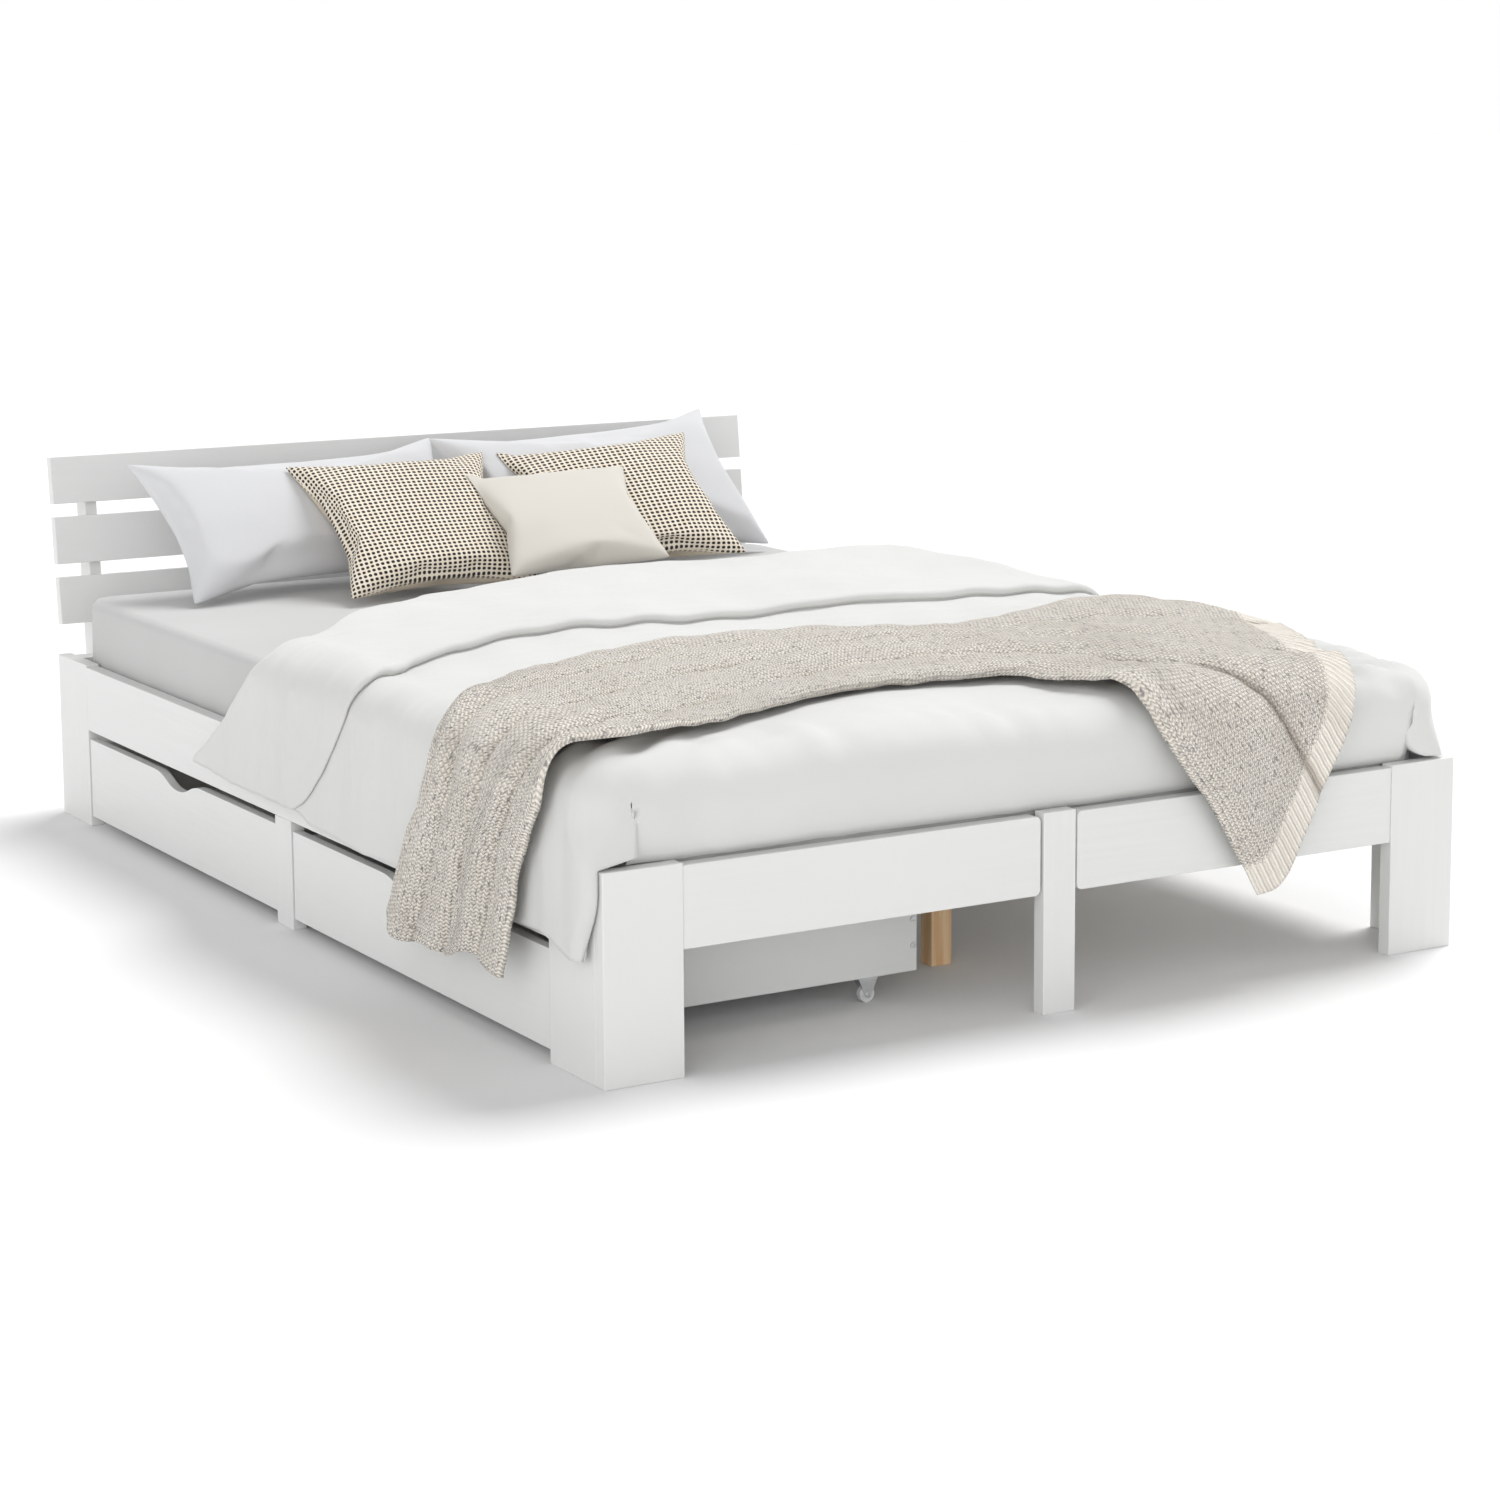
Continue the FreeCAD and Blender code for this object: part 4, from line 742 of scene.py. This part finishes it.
def make_throw(wool):
    """A surface between the four edges, lifted into lengthwise folds and thickened."""
    near, far, left, right = throw_outline()
    rows, columns = 300, 170
    length_share = np.linspace(0.0, 1.0, rows)
    width_share = np.linspace(0.0, 1.0, columns)
    near, far = curve_through(near, length_share), curve_through(far, length_share)
    left, right = curve_through(left, width_share), curve_through(right, width_share)
    p = length_share[:, None, None]
    q = width_share[None, :, None]
    # gathers: the cloth bunches into lengthwise folds that fan out towards the ribbed end
    p_flat, q_flat = p[..., 0], q[..., 0]
    drift = 0.16 * np.sin(p_flat * 7.0 + 0.6) + 0.05 * np.sin(p_flat * 17.0 + 2.0)
    bundles = math.pi * (3.55 * q_flat + drift + 0.22)
    folds = math.pi * (8.5 * q_flat - 1.5 * drift + 0.3 + 0.35 * np.sin(3.1 * p_flat))
    edge_calm = np.sin(np.clip(q_flat, 0.0, 1.0) * math.pi) ** 0.35
    height = 0.030 - 0.006 * smooth_step(p_flat, 0.18, 0.40) + 0.006 * np.exp(-((p_flat - 0.80) / 0.09) ** 2)
    height = height * (0.45 + 0.55 * edge_calm) * (1.0 - 0.45 * smooth_step(p_flat, 0.88, 1.0))
    profile = 0.90 * np.abs(np.sin(bundles)) ** 0.45 + 0.10 * np.abs(np.sin(folds))
    lift = 0.0030 + height * profile + 0.0012 * (1 + waves(p_flat * 1.9, q_flat * 0.5, 41, 0.10))
    slide = -0.012 * np.sin(2.0 * bundles) * edge_calm
    q = np.clip(q_flat + slide, 0.0, 1.0)[..., None]
    q[:, 0], q[:, -1] = 0.0, 1.0

    def spread(line):
        return np.stack([np.interp(q[..., 0], width_share, line[:, axis]) for axis in range(2)], axis=-1)

    lengthwise = near[:, None] * (1 - q) + far[:, None] * q
    crosswise = spread(left) * (1 - p) + spread(right) * p
    corners = (near[0] * (1 - p) * (1 - q) + near[-1] * p * (1 - q) + far[0] * (1 - p) * q + far[-1] * p * q)
    flat = lengthwise + crosswise - corners
    points = throw_point(flat[..., 0], flat[..., 1], lift)
    steps = np.linalg.norm(np.diff(points, axis=1), axis=2)
    lengths = np.linalg.norm(np.diff(points, axis=0), axis=2)
    u = np.vstack([np.zeros(columns), np.cumsum(lengths, axis=0)])
    u = np.repeat(u.mean(axis=1)[:, None], columns, axis=1)
    v = np.hstack([np.zeros((rows, 1)), np.cumsum(steps, axis=1)])
    uv = np.stack([u, v], axis=-1).reshape(-1, 2)
    faces = [tuple(reversed(face)) for face in grid_faces(rows, columns)]
    throw = mesh_object("knitted_throw", points.reshape(-1, 3), faces, wool, uv)
    border = smooth_step(np.broadcast_to(p_flat, (rows, columns)), 0.968, 0.972)
    set_attribute(throw, "border", border.ravel())
    # painted shade: a mask over the fold valleys that darkens the wool there
    set_attribute(throw, "painted_crease_shade", (1.0 - smooth_step(np.abs(np.sin(bundles)), 0.0, 0.24)).ravel())
    apply_modifier(throw, "SOLIDIFY", thickness=0.0042, offset=1.0, use_even_offset=False)
    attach(throw, "bed_frame")
    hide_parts("throw", "throw_side_drape")
    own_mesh(throw)


# ---------------------------------------------------------------- cushions
def cushion_shape(width, height, depth, columns, rows, seed):
    """A sewn pillow before it is filled: two layers that meet at the edge seam, pinched in between corners."""
    pinch = 0.055
    across = np.linspace(-1.0, 1.0, columns)
    up = np.linspace(-1.0, 1.0, rows)
    grid_a, grid_u = np.meshgrid(across, up, indexing="ij")
    fall = (1 - grid_a ** 2) * (1 - grid_u ** 2)
    bow_a = 1 - pinch * (1 - grid_u ** 2) * np.abs(grid_a) ** 3
    bow_u = 1 - pinch * (1 - grid_a ** 2) * np.abs(grid_u) ** 3
    x = grid_a * width / 2 * bow_a
    z = grid_u * height / 2 * bow_u
    crown = np.clip(fall, 0.0, 1.0) ** 0.42
    wave_front = 1 + 0.10 * waves(grid_a, grid_u, seed, 1.6)
    wave_back = 1 + 0.10 * waves(grid_a, grid_u, seed + 1, 1.6)
    front = np.stack([x, -depth / 2 * crown * wave_front, z], axis=-1)
    back = np.stack([x, depth / 2 * crown * wave_back, z], axis=-1)
    return front, back


def lean_on(leaning, support, forward):
    """Moves what lies inside the support forwards out of it; deeper points end up a little nearer to it."""
    gap, ease = 0.003, 0.030
    tree = BVHTree.FromPolygons([vertex.co for vertex in support.data.vertices],
                                [tuple(polygon.vertices) for polygon in support.data.polygons])
    forward = Vector(forward)
    for vertex in leaning.data.vertices:
        start = vertex.co - forward * gap
        hit, normal, _face, depth = tree.ray_cast(start, forward)
        if hit is not None and normal.dot(forward) > 0:
            vertex.co = hit + forward * gap * math.exp(-depth / ease)
    leaning.data.update()


def make_cushion(name, node_name, material, size, corners, seed, slump, against=()):
    """A stuffed cushion: sewn flat, filled by a cloth simulation, laid between four corner points, and
    pressed in where it leans against the cushions behind it."""
    width, height, depth = size
    mesh_step, travel_cap, swelling = 0.0115, 0.030, 1.03
    columns = max(24, int(width / mesh_step))
    rows = max(20, int(height / mesh_step))
    unfilled = depth * 0.75
    front, back = cushion_shape(width, height, unfilled, columns, rows, seed)
    front_points = front.reshape(-1, 3)
    edge = np.zeros((columns, rows), bool)
    edge[0], edge[-1], edge[:, 0], edge[:, -1] = True, True, True, True
    back_index = np.full((columns, rows), -1)
    count = columns * rows
    back_points = []
    for column in range(columns):
        for row in range(rows):
            if edge[column, row]:
                back_index[column, row] = column * rows + row
            else:
                back_index[column, row] = count + len(back_points)
                back_points.append(back[column, row])
    points = np.vstack([front_points, np.array(back_points)])
    faces = grid_faces(columns, rows)
    for column in range(columns - 1):
        for row in range(rows - 1):
            faces.append((back_index[column, row], back_index[column + 1, row],
                          back_index[column + 1, row + 1], back_index[column, row + 1]))
    faces = [tuple(reversed(face)) for face in faces]
    uv = points[:, [0, 2]].copy()
    made = mesh_object(name, points, faces, material, uv)
    behind = np.zeros(len(points))
    behind[count:] = 1.0
    set_attribute(made, "back", behind)
    rest = points.copy()
    cloth = made.modifiers.new("filling", "CLOTH")
    settings = cloth.settings
    settings.quality = 6
    settings.mass = 0.25
    settings.tension_stiffness = settings.compression_stiffness = 25.0
    settings.shear_stiffness = 12.0
    settings.bending_stiffness = 0.6
    settings.use_pressure = True
    settings.uniform_pressure_force = 3.5
    settings.effector_weights.gravity = 0.0
    scene = bpy.context.scene
    for step in range(1, 19):
        scene.frame_set(step)
    shaped = made.evaluated_get(bpy.context.evaluated_depsgraph_get())
    moved = np.array([vertex.co for vertex in shaped.data.vertices])
    made.modifiers.remove(cloth)
    scene.frame_set(1)
    shift = moved - rest
    length = np.linalg.norm(shift, axis=1)
    shift *= np.minimum(1.0, travel_cap / np.maximum(length, 1e-9))[:, None]
    rest = rest + shift
    # bring it to its size, then between its corners
    for axis, wanted in ((0, width), (2, height), (1, depth)):
        spread = rest[:, axis].max() - rest[:, axis].min()
        rest[:, axis] = (rest[:, axis] - (rest[:, axis].max() + rest[:, axis].min()) / 2) * wanted / spread
    share_a = rest[:, 0] / width * swelling + 0.5
    share_u = rest[:, 2] / height * swelling + 0.5
    top_left, top_right, low_right, low_left = (np.array(corner) for corner in corners)
    flat = ((top_left[None] * (1 - share_a)[:, None] + top_right[None] * share_a[:, None]) * share_u[:, None]
            + (low_left[None] * (1 - share_a)[:, None] + low_right[None] * share_a[:, None])
            * (1 - share_u)[:, None])
    across = (top_right + low_right - top_left - low_left)
    up = (top_left + top_right - low_left - low_right)
    out = np.cross(across, up)
    out /= np.linalg.norm(out)
    # the filling sinks a little towards the lower half
    sink = 1.0 + slump * (0.5 - share_u)
    placed = flat - out[None] * (rest[:, 1] * sink)[:, None]
    made.data.vertices.foreach_set("co", placed.astype(np.float32).ravel())
    made.data.update()
    apply_modifier(made, "SUBSURF", levels=1)
    for support in against:
        lean_on(made, support, out)
    for polygon in made.data.polygons:
        polygon.use_smooth = True
    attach(made, "bed_frame")
    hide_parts(node_name)
    return made


def row_point(x, along, z):
    """A point given in millimetres from the bed's left side, its foot end and the floor."""
    return (x / 1000.0 - SIDE + 0.0215, FOOT + along / 1000.0, z / 1000.0)


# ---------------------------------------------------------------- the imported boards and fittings
def dress_frame():
    """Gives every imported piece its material; boards get grain along their longest side."""
    white = (0.735, 0.74, 0.728)
    paints = [lacquer(f"white_lacquer_{axis}", white, index) for index, axis in enumerate("xyz")]
    pine_upright = bare_pine("bare_pine_z", 2)
    pale_wood = {"early": (0.78, 0.74, 0.68), "late": (0.70, 0.65, 0.58), "fleck": (0.56, 0.50, 0.42)}
    pale_across = bare_pine("pale_wood_x", 0, **pale_wood)
    pale_along = bare_pine("pale_wood_y", 1, **pale_wood)
    steel = metal("zinc_steel")
    wheel_plastic = plastic("wheel_plastic")
    for name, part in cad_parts.items():
        if name.startswith("wheel_"):
            material = wheel_plastic
        elif name.startswith(("caster_", "drawer_screws")):
            material = steel
        elif name.startswith("centre_leg"):
            material = pine_upright
        elif name.startswith(("centre_beam", "base_slats", "slat_ledger")):
            material = pale_across if name == "base_slats" else pale_along
        else:
            low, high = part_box(name)
            spans = list(high - low)
            material = paints[spans.index(max(spans))]
        part.data.materials.clear()
        part.data.materials.append(material)


# ---------------------------------------------------------------- everything together
make_camera()
make_studio()
dress_frame()

duvet_cotton = cotton("duvet_cotton", (0.665, 0.665, 0.652), creases=0.30)
sheet_cotton = cotton("sheet_cotton", (0.54, 0.54, 0.535), creases=0.12)
ticking = cotton("mattress_ticking", (0.78, 0.78, 0.77), creases=0.1)
pillow_cotton = cotton("pillow_cotton", (0.645, 0.65, 0.665), creases=0.35)
cream_cotton = cotton("cream_cotton", (0.64, 0.612, 0.555), creases=0.25, thread=0.0016)
check_weave = checked("check_weave")
knit_wool = knitted("knit_wool")

make_mattress(ticking, sheet_cotton)
make_duvet(duvet_cotton)
make_throw(knit_wool)

pillow_left = make_cushion(
    "pillow_left_case", "pillow_left", pillow_cotton, (0.633, 0.335, 0.105),
    (row_point(114, 1999, 640), row_point(741, 2070, 644), row_point(765, 1862, 410), row_point(145, 1785, 408)),
    51, slump=0.35)
pillow_right = make_cushion(
    "pillow_right_case", "pillow_right", pillow_cotton, (0.668, 0.335, 0.105),
    (row_point(690, 1955, 655), row_point(1340, 2082, 668), row_point(1386, 1880, 414), row_point(748, 1760, 408)),
    61, slump=0.3)
check_left = make_cushion(
    "check_cushion_left_cover", "check_cushion_left", check_weave, (0.401, 0.401, 0.085),
    (row_point(396, 1950, 619), row_point(768, 1890, 629), row_point(752, 1632, 424), row_point(384, 1638, 416)),
    71, slump=0.15, against=(pillow_left, pillow_right))
check_right = make_cushion(
    "check_cushion_right_cover", "check_cushion_right", check_weave, (0.385, 0.385, 0.085),
    (row_point(800, 1905, 618), row_point(1190, 1875, 645), row_point(1174, 1611, 445), row_point(805, 1650, 416)),
    81, slump=0.15, against=(pillow_left, pillow_right, check_left))
make_cushion(
    "plain_cushion_cover", "plain_cushion", cream_cotton, (0.303, 0.303, 0.075),
    (row_point(690, 1812, 590), row_point(1004, 1779, 600), row_point(978, 1552, 456), row_point(660, 1562, 443)),
    91, slump=0.15, against=(check_left, check_right))
